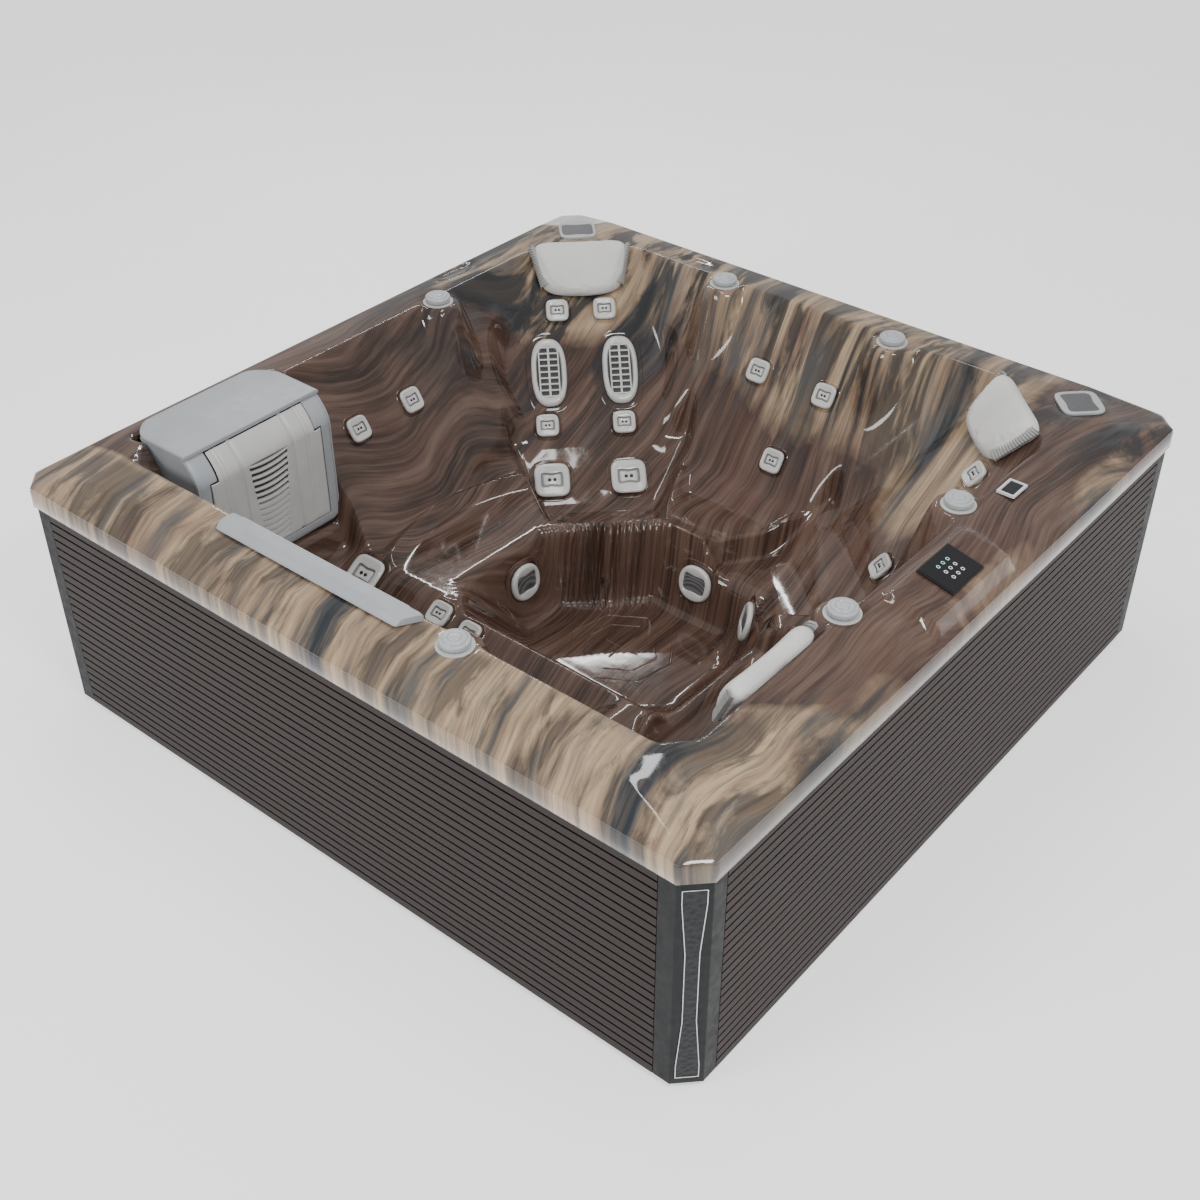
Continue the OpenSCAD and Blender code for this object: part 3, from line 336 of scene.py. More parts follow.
class Graph:
    """Short way to write a node material."""

    def __init__(self, name):
        self.mat = bpy.data.materials.new(name)
        self.mat.use_nodes = True
        self.tree = self.mat.node_tree
        self.tree.nodes.clear()
        self.out = self.tree.nodes.new("ShaderNodeOutputMaterial")

    def node(self, kind, _out=0, _set=None, **inputs):
        n = self.tree.nodes.new("ShaderNode" + kind)
        for k, v in (_set or {}).items():
            setattr(n, k, v)
        for k, v in inputs.items():
            numbered = k[0] == "i" and k[1:].isdigit()
            socket = n.inputs[int(k[1:]) if numbered else k.replace("_", " ")]
            if isinstance(v, bpy.types.NodeSocket):
                self.tree.links.new(v, socket)
            else:
                socket.default_value = v
        return n.outputs[_out]

    def math(self, op, a, b=0.0):
        return self.node("Math", _set={"operation": op}, i0=a, i1=b)

    def ramp(self, fac, stops):
        n = self.tree.nodes.new("ShaderNodeValToRGB")
        els = n.color_ramp.elements
        while len(els) < len(stops):
            els.new(0.5)
        for e, (pos, colour) in zip(els, stops):
            e.position = pos
            e.color = (*colour, 1)
        self.tree.links.new(fac, n.inputs[0])
        return n.outputs[0]

    def grey(self, fac, start, end, first, last):
        """Ramp from one grey to another."""
        return self.ramp(fac, [(start, (first,) * 3), (end, (last,) * 3)])

    def mix(self, fac, a, b):
        n = self.tree.nodes.new("ShaderNodeMix")
        n.data_type = "RGBA"
        for i, v in ((0, fac), (6, a), (7, b)):
            if isinstance(v, bpy.types.NodeSocket):
                self.tree.links.new(v, n.inputs[i])
            else:
                n.inputs[i].default_value = v if i == 0 else (*v, 1)
        return n.outputs[2]

    def noise(self, at, scale, detail, rough=0.55, warp=0.0, out=0):
        return self.node("TexNoise", _out=out, Vector=at, Scale=scale, Detail=detail,
                         Roughness=rough, Distortion=warp)

    def where(self):
        return self.node("TexCoord", _out=3)

    def split(self, at, count):
        """X, Y and Z of a position, or as many of them as asked for."""
        return [self.node("SeparateXYZ", _out=i, Vector=at) for i in range(count)]

    def shift(self, at, scale, amount):
        """Moves a position by a noise."""
        n = self.node("VectorMath", _set={"operation": "SUBTRACT"},
                      i0=self.noise(at, scale, 2.0, out=1), i1=(0.5, 0.5, 0.5))
        n = self.node("VectorMath", _set={"operation": "SCALE"}, i0=n, Scale=amount)
        return self.node("VectorMath", _set={"operation": "ADD"}, i0=at, i1=n)

    def stretch(self, at, turn, scale):
        return self.node("Mapping", Vector=at, Rotation=(0, 0, math.radians(turn)), Scale=scale)

    def bump(self, height, strength, distance):
        return self.node("Bump", Height=height, Strength=strength, Distance=distance)

    def finish(self, **inputs):
        surface = self.node("BsdfPrincipled", **inputs)
        self.tree.links.new(surface, self.out.inputs[0])
        return self.mat


def acrylic():
    g = Graph("marbled_acrylic")
    at = g.stretch(g.where(), 0, (1, 1, 0.22))
    loose = g.shift(g.shift(at, 0.9, 0.42), 2.4, 0.05)
    # Brown, grained like wood along lines that wander
    grain = g.noise(g.stretch(loose, 18, (0.9, 10.0, 0.9)), 2.2, 8.0, 0.58, 0.15)
    fine = g.noise(g.stretch(loose, 22, (1.4, 50.0, 1.4)), 3.0, 4.0, 0.55)
    brown = g.ramp(grain, [(0.28, (0.016, 0.01, 0.008)), (0.42, (0.05, 0.028, 0.021)),
                           (0.52, (0.088, 0.05, 0.036)), (0.62, (0.13, 0.08, 0.06)),
                           (0.76, (0.205, 0.142, 0.11))])
    brown = g.mix(g.grey(fine, 0.46, 0.74, 0, 0.6), brown, (0.2, 0.13, 0.098))
    brown = g.mix(g.grey(fine, 0.28, 0.42, 0.6, 0), brown, (0.02, 0.012, 0.01))
    rust = g.grey(g.noise(loose, 2.6, 3.0, 0.5, 0.8), 0.52, 0.72, 0, 0.4)
    brown = g.mix(rust, brown, (0.11, 0.046, 0.032))
    # Cream, with blue-grey bands and thin dark lines
    veil = g.noise(g.stretch(loose, 8, (0.8, 8.0, 0.8)), 1.7, 7.0, 0.57, 0.15)
    cream = g.ramp(veil, [(0.34, (0.022, 0.028, 0.035)), (0.41, (0.12, 0.105, 0.09)),
                          (0.48, (0.34, 0.235, 0.15)), (0.57, (0.52, 0.38, 0.245)),
                          (0.7, (0.25, 0.155, 0.1))])
    hair = g.noise(g.stretch(loose, 10, (1.2, 60.0, 1.2)), 2.4, 4.0, 0.55)
    cream = g.mix(g.grey(hair, 0.34, 0.5, 0.55, 0), cream, (0.11, 0.085, 0.068))
    rose = g.grey(g.noise(loose, 3.6, 4.0, 0.55, 0.9), 0.56, 0.7, 0, 0.55)
    cream = g.mix(rose, cream, (0.2, 0.11, 0.08))
    # Dark streaks, strongest on the far walls
    smoke = g.noise(g.stretch(loose, 40, (1.5, 6.5, 1.5)), 1.9, 7.0, 0.6, 0.7)
    streak = g.node("Attribute", _out=2, _set={"attribute_name": "streak"})
    dark = g.math("MULTIPLY", g.grey(smoke, 0.47, 0.56, 0, 1), streak)
    share = g.node("Attribute", _out=2, _set={"attribute_name": "cream"})
    patch = g.noise(loose, 2.0, 5.0, 0.6, 0.7)
    edge = g.math("ADD", share, g.math("MULTIPLY", g.math("SUBTRACT", patch, 0.5), 1.1))
    edge = g.grey(edge, 0.38, 0.6, 0, 1)
    colour = g.mix(edge, brown, cream)
    colour = g.mix(g.math("MULTIPLY", dark, 0.92), colour, (0.016, 0.018, 0.021))
    slate = g.grey(g.noise(g.stretch(loose, 30, (1.2, 4.5, 1.2)), 2.6, 5.0, 0.6, 0.5), 0.55, 0.72, 0, 0.7)
    colour = g.mix(g.math("MULTIPLY", slate, g.math("ADD", streak, 0.06)), colour, (0.085, 0.094, 0.102))
    ripple = g.noise(g.where(), 9.0, 2.0)
    haze = g.grey(g.noise(g.where(), 60.0, 3.0), 0.3, 0.8, 0.05, 0.11)
    return g.finish(Base_Color=colour, Roughness=haze, Normal=g.bump(ripple, 0.1, 0.004),
                    Coat_Weight=0.2, Coat_Roughness=0.03, IOR=1.46)


def moulded(name, base, roughness, mottle, grain=900.0, bump=0.06, metallic=0.0, coat=0.0, shine=0.5):
    """Moulded plastic or painted metal: a little mottle, a fine grain, uneven gloss."""
    g = Graph(name)
    at = g.where()
    tint = g.ramp(g.noise(at, 14.0, 4.0), [(0.35, tuple(c * (1 - mottle) for c in base)),
                                           (0.65, tuple(min(1.0, c * (1 + mottle)) for c in base))])
    rough = g.grey(g.noise(at, 45.0, 4.0), 0.3, 0.7, roughness * 0.8, roughness * 1.2)
    return g.finish(Base_Color=tint, Roughness=rough, Metallic=metallic, Coat_Weight=coat,
                    Specular_IOR_Level=shine, Normal=g.bump(g.noise(at, grain, 2.0), bump, FINE_BUMP))


def slats():
    """Grey boards with fine lengthwise grain, and red-brown grooves between them."""
    g = Graph("cabinet_slats")
    at = g.where()
    x, y = g.split(at, 2)
    out = g.math("MAXIMUM", g.math("ABSOLUTE", x), g.math("ABSOLUTE", y))
    groove = g.math("LESS_THAN", out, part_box("panel_right")[1].x - 0.0008)
    grain = g.noise(g.stretch(at, 0, (3, 3, 160)), 3.0, 5.0, 0.6)
    board = g.ramp(grain, [(0.3, (0.023, 0.018, 0.017)), (0.7, (0.04, 0.032, 0.03))])
    slot = g.ramp(g.noise(at, 30.0, 3.0), [(0.3, (0.02, 0.005, 0.003)), (0.7, (0.05, 0.013, 0.008))])
    rough = g.grey(grain, 0.3, 0.7, 0.45, 0.62)
    return g.finish(Base_Color=g.mix(groove, board, slot), Roughness=rough, Specular_IOR_Level=0.15,
                    Normal=g.bump(grain, 0.15, FINE_BUMP))


def lens():
    """Black lens with a hammered texture."""
    g = Graph("light_lens")
    at = g.where()
    pits = g.node("TexVoronoi", Vector=at, Scale=70.0)
    colour = g.ramp(pits, [(0.0, (0.002, 0.002, 0.0025)), (0.8, (0.014, 0.015, 0.018))])
    return g.finish(Base_Color=colour, Roughness=0.3, Specular_IOR_Level=0.25,
                    Normal=g.bump(pits, 0.6, 0.002))


WEAVE = 1600.0


def mesh_cloth():
    """Fine woven wire of the speakers and suction covers."""
    g = Graph("fine_mesh")
    at = g.where()
    turned = g.stretch(at, 45, (1, 1, 1))
    x, y = [g.math("SINE", g.math("MULTIPLY", t, WEAVE)) for t in g.split(turned, 2)]
    weave = g.math("MULTIPLY", x, y)
    colour = g.ramp(weave, [(0.0, (0.1, 0.1, 0.105)), (0.6, (0.33, 0.335, 0.34))])
    return g.finish(Base_Color=colour, Roughness=0.42, Metallic=0.4, Normal=g.bump(weave, 0.5, FINE_BUMP))


def headrest_skin():
    """Off-white moulded foam skin with fine pores."""
    g = Graph("headrest_skin")
    at = g.where()
    pores = g.node("TexVoronoi", Vector=at, Scale=420.0)
    base = g.ramp(g.noise(at, 7.0, 4.0), [(0.3, (0.66, 0.655, 0.63)), (0.7, (0.76, 0.755, 0.735))])
    rough = g.grey(g.noise(at, 30.0, 3.0), 0.3, 0.7, 0.42, 0.55)
    return g.finish(Base_Color=base, Roughness=rough, Normal=g.bump(pores, 0.12, 0.0004),
                    Subsurface_Weight=0.05, Subsurface_Scale=0.01)


MARK_PITCH = 0.022


def screen():
    """Black glass with generic round marks that glow."""
    g = Graph("screen_glass")
    at = g.where()
    x, y = g.split(at, 2)
    cx, cy = (console_lo.x + console_hi.x) / 2, (console_lo.y + console_hi.y) / 2
    u, v = [g.math("DIVIDE", g.math("SUBTRACT", t, middle), MARK_PITCH) for t, middle in ((x, cx), (y, cy))]
    du, dv = [g.math("SUBTRACT", g.math("FRACT", g.math("ADD", t, 0.5)), 0.5) for t in (u, v)]
    r = g.math("SQRT", g.math("ADD", g.math("POWER", du, 2.0), g.math("POWER", dv, 2.0)))
    ring = g.math("MULTIPLY", g.math("LESS_THAN", r, 0.24), g.math("GREATER_THAN", r, 0.15))
    near = g.math("LESS_THAN", g.math("MAXIMUM", g.math("ABSOLUTE", u), g.math("ABSOLUTE", v)), 1.5)
    lit = g.math("MULTIPLY", ring, near)
    smear = g.grey(g.noise(at, 25.0, 3.0), 0.3, 0.7, 0.05, 0.12)
    glow = g.mix(g.math("GREATER_THAN", v, 0.5), (0.75, 0.8, 0.85), (0.1, 0.75, 0.8))
    return g.finish(Base_Color=g.mix(lit, (0.006, 0.006, 0.008), (0.5, 0.5, 0.5)), Roughness=smear,
                    Emission_Color=glow, Emission_Strength=g.math("MULTIPLY", lit, 0.9))


def floor_paint():
    g = Graph("studio_floor")
    tint = g.grey(g.noise(g.where(), 0.7, 3.0), 0.3, 0.7, 0.93, 0.96)
    return g.finish(Base_Color=tint, Roughness=0.85, Emission_Color=tint, Emission_Strength=0.9)


ACRYLIC = acrylic()
SKIN = headrest_skin()
MESH = mesh_cloth()
FITTING = moulded("fitting_plastic", (0.6, 0.6, 0.585), 0.22, 0.04, coat=0.2)
KNOB = moulded("knob_plastic", (0.47, 0.495, 0.515), 0.28, 0.05, coat=0.2)
RING = moulded("speaker_ring", (0.5, 0.52, 0.53), 0.3, 0.05)
GREY = moulded("filter_grey", (0.4, 0.425, 0.45), 0.4, 0.04, 700.0)
DOOR = moulded("filter_door_plastic", (0.6, 0.6, 0.585), 0.38, 0.04, 700.0)
WHITE = moulded("white_plastic", (0.78, 0.79, 0.79), 0.3, 0.03)
DARK = moulded("dark_plastic", (0.016, 0.016, 0.017), 0.4, 0.15)
POST = moulded("post_plastic", (0.018, 0.019, 0.02), 0.5, 0.08, 500.0, 0.1, shine=0.15)
ALU = moulded("brushed_trim", (0.62, 0.63, 0.65), 0.28, 0.05, metallic=0.9)
PIPE = moulded("pipe_plastic", (0.75, 0.75, 0.72), 0.35, 0.05)
MOTOR = moulded("motor_paint", (0.1, 0.13, 0.17), 0.4, 0.12)
STEEL = moulded("heater_steel", (0.55, 0.55, 0.55), 0.25, 0.08, metallic=1.0)
BOX = moulded("box_plastic", (0.28, 0.29, 0.3), 0.5, 0.08)
FOIL = moulded("foil", (0.7, 0.7, 0.7), 0.3, 0.1, 160.0, 0.8, metallic=0.9)
WOOD = moulded("planed_timber", (0.48, 0.34, 0.2), 0.62, 0.25, 120.0, 0.3)
PLEAT = moulded("pleated_paper", (0.74, 0.74, 0.71), 0.85, 0.06, 400.0, 0.4)

display_glass = moulded("display_glass", (0.01, 0.011, 0.013), 0.1, 0.2)
for mat, names in {
    slats(): ["panel_front", "panel_back", "panel_left", "panel_right"],
    POST: ["corner_posts"], ALU: ["light_bezels"], lens(): ["light_lenses"],
    DARK: ["base_pan", "drain_valve", "footwell_lamp", "touch_bezel"],
    WOOD: ["frame"], FOIL: ["insulation"], MOTOR: ["pump_left", "pump_right", "air_blower"],
    STEEL: ["heater"], BOX: ["control_box"], PIPE: ["pipework"],
    FITTING: ["valve_bodies", "jet_bodies"], WHITE: ["display_bezel", "waterfall_lip"],
    screen(): ["touch_screen"], PLEAT: ["filter_cartridges"],
}.items():
    for name in names:
        nodes[name].data.materials.clear()
        nodes[name].data.materials.append(mat)


# ---- mesh helpers ----

link = bpy.context.scene.collection.objects.link


def piece(name, verts, faces, mat, slot, body="tub", smooth=40):
    """Mesh object that rides on a CAD body, shaded smooth where its faces meet gently."""
    mesh = bpy.data.meshes.new(name)
    mesh.from_pydata([tuple(map(float, v)) for v in verts], [], faces)
    mesh.validate()
    mesh.update()
    mesh.materials.append(mat)
    if smooth:
        mesh.polygons.foreach_set("use_smooth", [True] * len(mesh.polygons))
        mesh.set_sharp_from_angle(angle=math.radians(smooth))
    obj = bpy.data.objects.new(name, mesh)
    link(obj)
    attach(obj, body)
    if mat is ACRYLIC:
        paint(mesh)
    return obj


def quads(rows, n, closed):
    """Faces between rows of n points each, closed when each row is a ring."""
    return [(k * n + i, k * n + (i + 1) % n, (k + 1) * n + (i + 1) % n, (k + 1) * n + i)
            for k in range(rows - 1) for i in range(n if closed else n - 1)]


def loft(loops, close_start=False, close_end=False):
    """Verts and faces through rings of points, each ring having the same number of points."""
    n = len(loops[0])
    verts = [p for ring in loops for p in ring]
    faces = quads(len(loops), n, True)
    for wanted, ring, flip in ((close_start, 0, True), (close_end, len(loops) - 1, False)):
        if wanted:
            centre = np.mean(np.array(loops[ring]), axis=0)
            verts.append(centre)
            c = len(verts) - 1
            base = ring * n
            faces += [((base + (i + 1) % n, base + i, c) if flip else
                       (base + i, base + (i + 1) % n, c)) for i in range(n)]
    return verts, faces


def join_parts(parts):
    verts, faces = [], []
    for v, f in parts:
        k = len(verts)
        verts += list(v)
        faces += [tuple(i + k for i in face) for face in f]
    return verts, faces


def placed(loops, point, direction, spin=0.0):
    """Rings given down, across and out from a wall, set on it at a point and turned by spin."""
    x, y, z = axes_on(direction)
    c, s = math.cos(spin), math.sin(spin)
    point = np.asarray(point, float)
    return [[point + (p[0] * c - p[1] * s) * x + (p[0] * s + p[1] * c) * y + p[2] * z for p in ring]
            for ring in loops]


POINTS = 64


def soft_ring(w, z, n, waist=0.0, tall=1.0):
    """Rounded square of width w; waist pulls two of its sides in, as on a bow tie."""
    ring = []
    for i in range(POINTS):
        a = 2 * math.pi * i / POINTS
        c, s = math.cos(a), math.sin(a)
        r = (abs(c) ** n + abs(s) ** n) ** (-1 / n) * w / 2
        px, py = r * c * tall, r * s
        px *= 1 - waist * (1 - min(1.0, abs(py) / (w / 2)) ** 1.6)
        ring.append((px, py, z))
    return ring


def stack(w, rows, base=0.0):
    """Rings of a face of width w, from rows of width share, height, squareness, waist and length."""
    return [soft_ring(w * row[0], base + row[1], *row[2:]) for row in rows]


def box_rings(x0, x1, y0, y1, levels):
    """Rings of a box, set in by i at height z for each (i, z)."""
    return [[(x0 + i, y0 + i, z), (x1 - i, y0 + i, z), (x1 - i, y1 - i, z), (x0 + i, y1 - i, z)]
            for i, z in levels]


# ---- shell ----

SIDE_STEPS, CUT_STEPS = 168, 6


def outline():
    """Points round the lip, by quarter, starting on the +X side."""
    pts = []
    flat = LIP - CHAMFER
    for k in range(4):
        c, s = (1, 0, -1, 0)[k], (0, 1, 0, -1)[k]
        side = [(LIP, -flat + 2 * flat * i / SIDE_STEPS) for i in range(SIDE_STEPS)]
        cut = [(LIP - CHAMFER * i / CUT_STEPS, flat + CHAMFER * i / CUT_STEPS) for i in range(CUT_STEPS)]
        pts += [(c * x - s * y, s * x + c * y) for x, y in side + cut]
    return np.array(pts)


def shell_mesh():
    lip = outline()
    n = len(lip)
    # Distances in from the lip, closer together where the surface bends
    drop = np.concatenate([
        np.array([0.0025, 0.005, 0.01, 0.02]), np.arange(0.032, 0.07, 0.012),
        np.arange(0.074, 0.09, 0.004), np.arange(0.096, 0.18, 0.01),
        np.arange(0.186, 0.24, 0.0055), np.arange(0.24, 0.8, 0.0088),
        np.arange(0.8, 1.14, 0.014)])
    rings = []
    low = LIP_Z + BAND
    hem = [(0.022, LIP_Z + 0.001), (0.004, LIP_Z), (0.0, LIP_Z + 0.004), (0.0, LIP_Z + 0.028),
           (0.0, low - 0.006), (0.0015, low - 0.0035), (0.0022, low - 0.001), (0.0012, low + 0.0012)]
    for e, z in hem:
        p = lip * (1 - e / LIP)
        rings.append(np.column_stack([p, np.full(n, z)]))
    for e in drop:
        p = lip * (1 - e / LIP)
        rings.append(np.column_stack([p, height(p[:, 0], p[:, 1])]))
    k = len(rings)
    grid = np.array(rings)
    # Evens out the steps that the steep walls leave in the mesh, inside the rim only
    start = len(hem) + int(np.searchsorted(drop, 0.1))
    for _ in range(3):
        near = (np.roll(grid, 1, 1) + np.roll(grid, -1, 1))[start:-1] + grid[start - 1:-2] + grid[start + 1:]
        grid[start:-1] = grid[start:-1] * 0.5 + near * 0.125
    faces = quads(k, n, True)
    faces += [((k - 1) * n + i, (k - 1) * n + (i + 1) % n, k * n) for i in range(n)]
    middle = (0, 0, float(height(np.zeros(1), np.zeros(1))[0]))
    return np.vstack([grid.reshape(-1, 3), middle]), faces


tub = piece("tub_shell", *shell_mesh(), ACRYLIC, slot="acrylic", smooth=50)
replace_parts(tub, "shell")


# Raised lines of the footwell's floor: a turned chevron inside an open octagon
TREAD_MID = np.array((-0.01, -0.03))
TREAD_W, TREAD_RISE, TREAD_GAP = 0.008, 0.0022, 0.01


def bead(path):
    """Half-round strip that follows the shell's surface along a path in plan."""
    path = np.array(path, float)
    n = len(path)
    ahead = np.roll(path, -1, 0) - np.roll(path, 1, 0)
    ahead[0], ahead[-1] = path[1] - path[0], path[-1] - path[-2]
    side = np.column_stack([-ahead[:, 1], ahead[:, 0]])
    side /= np.linalg.norm(side, axis=1)[:, None]
    rows = []
    for t, h in ((-1, -0.004), (-0.8, 0.35), (-0.4, 0.85), (0, 1), (0.4, 0.85), (0.8, 0.35), (1, -0.004)):
        p = path + side * t * TREAD_W / 2
        rows.append(np.column_stack([p, height(p[:, 0], p[:, 1]) + h * TREAD_RISE]))
    return np.concatenate(rows), quads(len(rows), n, False)


def dense(points):
    """The same line with points no more than about one gap apart."""
    out = []
    for a, b in zip(points, points[1:]):
        m = max(1, int(np.linalg.norm(b - a) / TREAD_GAP))
        out += [a + (b - a) * i / m for i in range(m)]
    return out + [points[-1]]


lines = [[TREAD_MID + r * np.array((math.cos(a), math.sin(a)))
          for a in np.linspace(math.radians(a0), math.radians(a1), 4)]
         for r in (0.115, 0.165) for a0, a1 in ((10, 145), (190, 325))]
lines += [[TREAD_MID - np.array(end), TREAD_MID + np.array(end)] for end in ((0.06, 0), (0, 0.06))]
piece("footwell_treads", *join_parts([bead(dense(line)) for line in lines]), ACRYLIC, slot="acrylic")

# Dished wells round the jets, of the same acrylic: share of the fitting's radius, height, squareness
DISH = ((2.6, -0.0006, 3.0), (2.5, 0.0016, 3.0), (2.4, 0.0024, 3.0), (2.3, 0.0012, 3.2),
        (2.16, 0.0004, 3.4), (2.02, 0.0004, 3.6))


def dish(point, direction, radius, tall=1.0):
    return loft(placed(stack(radius, [(*row, 0, tall) for row in DISH]), point, direction))


dishes = [dish(j["pos_m"], j["axis"], jet_width(n) / 2) for n, j in jets.items()]
dishes += [dish(p, d, 0.058, 1.85) for p, d in grilles]
dishes += [dish(p, d, 0.058) for p, d in suctions]
piece("jet_wells", *join_parts(dishes), ACRYLIC, slot="acrylic")


# ---- jets, grilles, covers ----

JET_FACE = 0.006
JET = ((0.9, -0.002, 4.2), (0.98, 0.0, 4.2), (1, 0.003, 4.2), (0.99, 0.006, 4.2), (0.95, 0.0085, 4.2),
       (0.89, 0.01, 4.4), (0.8, 0.01, 4.6), (0.74, 0.0092, 5.0), (0.68, 0.008, 5.0, 0.04, 0.86),
       (0.63, 0.0078, 6.0, 0.2, 0.8), (0.6, 0.0062, 6.0, 0.24, 0.78), (0.585, 0.0032, 6.0, 0.25, 0.77),
       (0.56, 0.0028, 6.0, 0.25, 0.76), (0.5, 0.003, 6.0, 0.24, 0.72), (0.48, 0.0062, 6.0, 0.22, 0.7),
       (0.45, 0.0072, 6.0, 0.2, 0.68), (0.3, 0.0068, 4.0, 0.1, 0.7), (0.1, 0.0062, 2.0, 0.0, 1.0))
# The rings between which the groove runs, coloured darker as painted shade in the recess
GROOVE_RINGS = (9, 13)
# Darker grey of the same plastic for the groove: painted shade
GROOVE_SHADE = moulded("fitting_groove_shade", (0.22, 0.22, 0.215), 0.35, 0.05)
NOZZLE_Z = JET_FACE + 0.0072
NOZZLE = ((0.052, -0.001), (0.046, 0.0012), (0.036, 0.001), (0.03, -0.0002), (0.0, -0.0003))


def nozzle(w, across):
    """Small hole of a jet, a little cup with a raised lip, coloured dark as painted shade for the hole's
    depth.
    """
    turns = [(math.cos(a), math.sin(a)) for a in np.linspace(0, 2 * math.pi, 17)[:-1]]
    return [[(r * w * c, across + r * w * s, NOZZLE_Z + z) for c, s in turns] for r, z in NOZZLE]


for name, j in jets.items():
    w = jet_width(name)
    face = piece(name + "_face", *loft(placed(stack(w, JET, JET_FACE), j["pos_m"], j["axis"]), True, True),
                 FITTING, body=name, slot="fitting_plastic", smooth=50)
    face.data.materials.append(GROOVE_SHADE)
    for polygon in face.data.polygons[GROOVE_RINGS[0] * POINTS:GROOVE_RINGS[1] * POINTS]:
        polygon.material_index = 1
    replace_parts(face, name)
    # Dark nozzles: painted shade standing for the depth of the holes
    holes = [loft(placed(nozzle(w, s * w * 0.075), j["pos_m"], j["axis"])) for s in (-1, 1)]
    piece(name + "_nozzles", *join_parts(holes), DARK, body=name, slot="fitting_plastic")

GRILLE_W = 0.116
GRILLE = ((0.96, 0.0005, 2.6, 0, 1.92), (1, 0.006, 2.6, 0, 1.96), (0.98, 0.012, 2.6, 0, 1.96),
          (0.92, 0.0165, 2.6, 0, 1.97), (0.84, 0.0175, 2.6, 0, 2.0), (0.74, 0.017, 3.0, 0, 2.02),
          (0.71, 0.009, 3.0, 0, 2.04), (0.3, 0.0088, 3.0, 0, 2.4))
GRILLE_SHADOW = ((0.7, 0.0094, 3.0, 0, 2.04), (0.2, 0.0096, 3.0, 0, 2.4))
# Bars of a grille: start and end down the slope, start and end across, height of the top
half = GRILLE_W * 0.27
BARS = [(i * 0.0205 - 0.0028, i * 0.0205 + 0.0028, -half, half, 0.0172) for i in range(-4, 5)]
BARS += [(-0.082, 0.082, -0.0035, 0.0035, 0.0165)]
BARS += [(-0.092, 0.092, s * half - 0.0025, s * half + 0.0025, 0.0178) for s in (-1, 1)]
BAR_FOOT, BAR_EDGE = 0.009, 0.0008
grille_parts, grille_dark = [], []
for at in grilles:
    grille_parts.append(loft(placed(stack(GRILLE_W, GRILLE), *at), False, True))
    for *ends, top in BARS:
        rings = box_rings(*ends, ((0, BAR_FOOT), (0, top - BAR_EDGE), (BAR_EDGE, top)))
        grille_parts.append(loft(placed(rings, *at), False, True))
    grille_dark.append(loft(placed(stack(GRILLE_W, GRILLE_SHADOW), *at), False, True))
grille = piece("grille_faces", *join_parts(grille_parts), FITTING, slot="fitting_plastic")
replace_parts(grille, "grille_jets")
piece("grille_shadows", *join_parts(grille_dark), DARK, slot="fitting_plastic")

COVER_W = 0.116
COVER = ((0.97, 0.0004, 2.2), (1, 0.005, 2.2), (0.99, 0.01, 2.2), (0.93, 0.0145, 2.2), (0.86, 0.0158, 2.3),
         (0.74, 0.015, 2.8, 0.04, 0.92), (0.7, 0.0135, 4.0, 0.18, 0.86), (0.68, 0.01, 4.0, 0.2, 0.85))
COVER_MESH = ((0.69, 0.0104, 4.0, 0.2, 0.85), (0.4, 0.0125, 3.0, 0.16, 0.85), (0.1, 0.0135, 2.0, 0, 1))
cover_parts = [loft(placed(stack(COVER_W, COVER), *at)) for at in suctions]
cover_mesh = [loft(placed(stack(COVER_W, COVER_MESH), *at), False, True) for at in suctions]
covers = piece("suction_rings", *join_parts(cover_parts), FITTING, slot="fitting_plastic")
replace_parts(covers, "suction_covers")
piece("suction_meshes", *join_parts(cover_mesh), MESH, slot="mesh_plastic")


# ---- knobs and speakers ----

KNOB_W = 0.078
KNOB_TURN = math.radians(20)
CAP = ((0.84, 0.0, 2.0), (0.94, 0.0015, 2.0), (0.99, 0.006, 2.0), (1, 0.011, 2.0), (0.985, 0.015, 2.0),
       (0.93, 0.0175, 2.0), (0.84, 0.018, 2.0), (0.8, 0.0172, 2.1), (0.76, 0.0172, 2.1),
       (0.73, 0.0205, 2.1), (0.68, 0.0218, 2.2), (0.54, 0.0222, 2.4), (0.46, 0.0216, 3.0),
       (0.44, 0.0205, 3.2), (0.4, 0.0205, 3.2), (0.38, 0.0222, 3.4), (0.34, 0.023, 3.4),
       (0.16, 0.0234, 3.0), (0.04, 0.0234, 2.0))
for name, j in knobs.items():
    rings = placed(stack(KNOB_W, CAP), j["pos_m"], j["axis"], KNOB_TURN)
    knob = piece(name + "_cap", *loft(rings, True, True), KNOB, body=name, slot="knob_plastic", smooth=50)
    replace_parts(knob, name)

SPEAKER = ((0.98, 0.0004, 5.0), (1, 0.004, 5.0), (0.985, 0.008, 5.0), (0.95, 0.0095, 5.0),
           (0.9, 0.0096, 5.0, 0.02), (0.85, 0.0088, 5.5, 0.16, 0.95), (0.83, 0.006, 5.5, 0.18, 0.94))
SPEAKER_MESH = ((0.84, 0.0062, 5.5, 0.18, 0.94), (0.6, 0.0078, 4.5, 0.16, 0.94), (0.2, 0.0084, 3.0, 0.1, 1))
ring_parts, pad_parts = [], []
for spot, turn in speakers:
    at = (*spot, SPEAKER_Z), (0, 0, 1), math.radians(turn)
    ring_parts.append(loft(placed(stack(SPEAKER_W, SPEAKER), *at)))
    pad_parts.append(loft(placed(stack(SPEAKER_W, SPEAKER_MESH), *at), False, True))
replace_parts(piece("speaker_frames", *join_parts(ring_parts), RING, slot="knob_plastic"), "speaker_rings")
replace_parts(piece("speaker_meshes", *join_parts(pad_parts), MESH, slot="mesh_plastic"), "speaker_grilles")


# ---- headrests ----

CLOTH_FRAMES = 18
CLOTH_CELL = 0.006


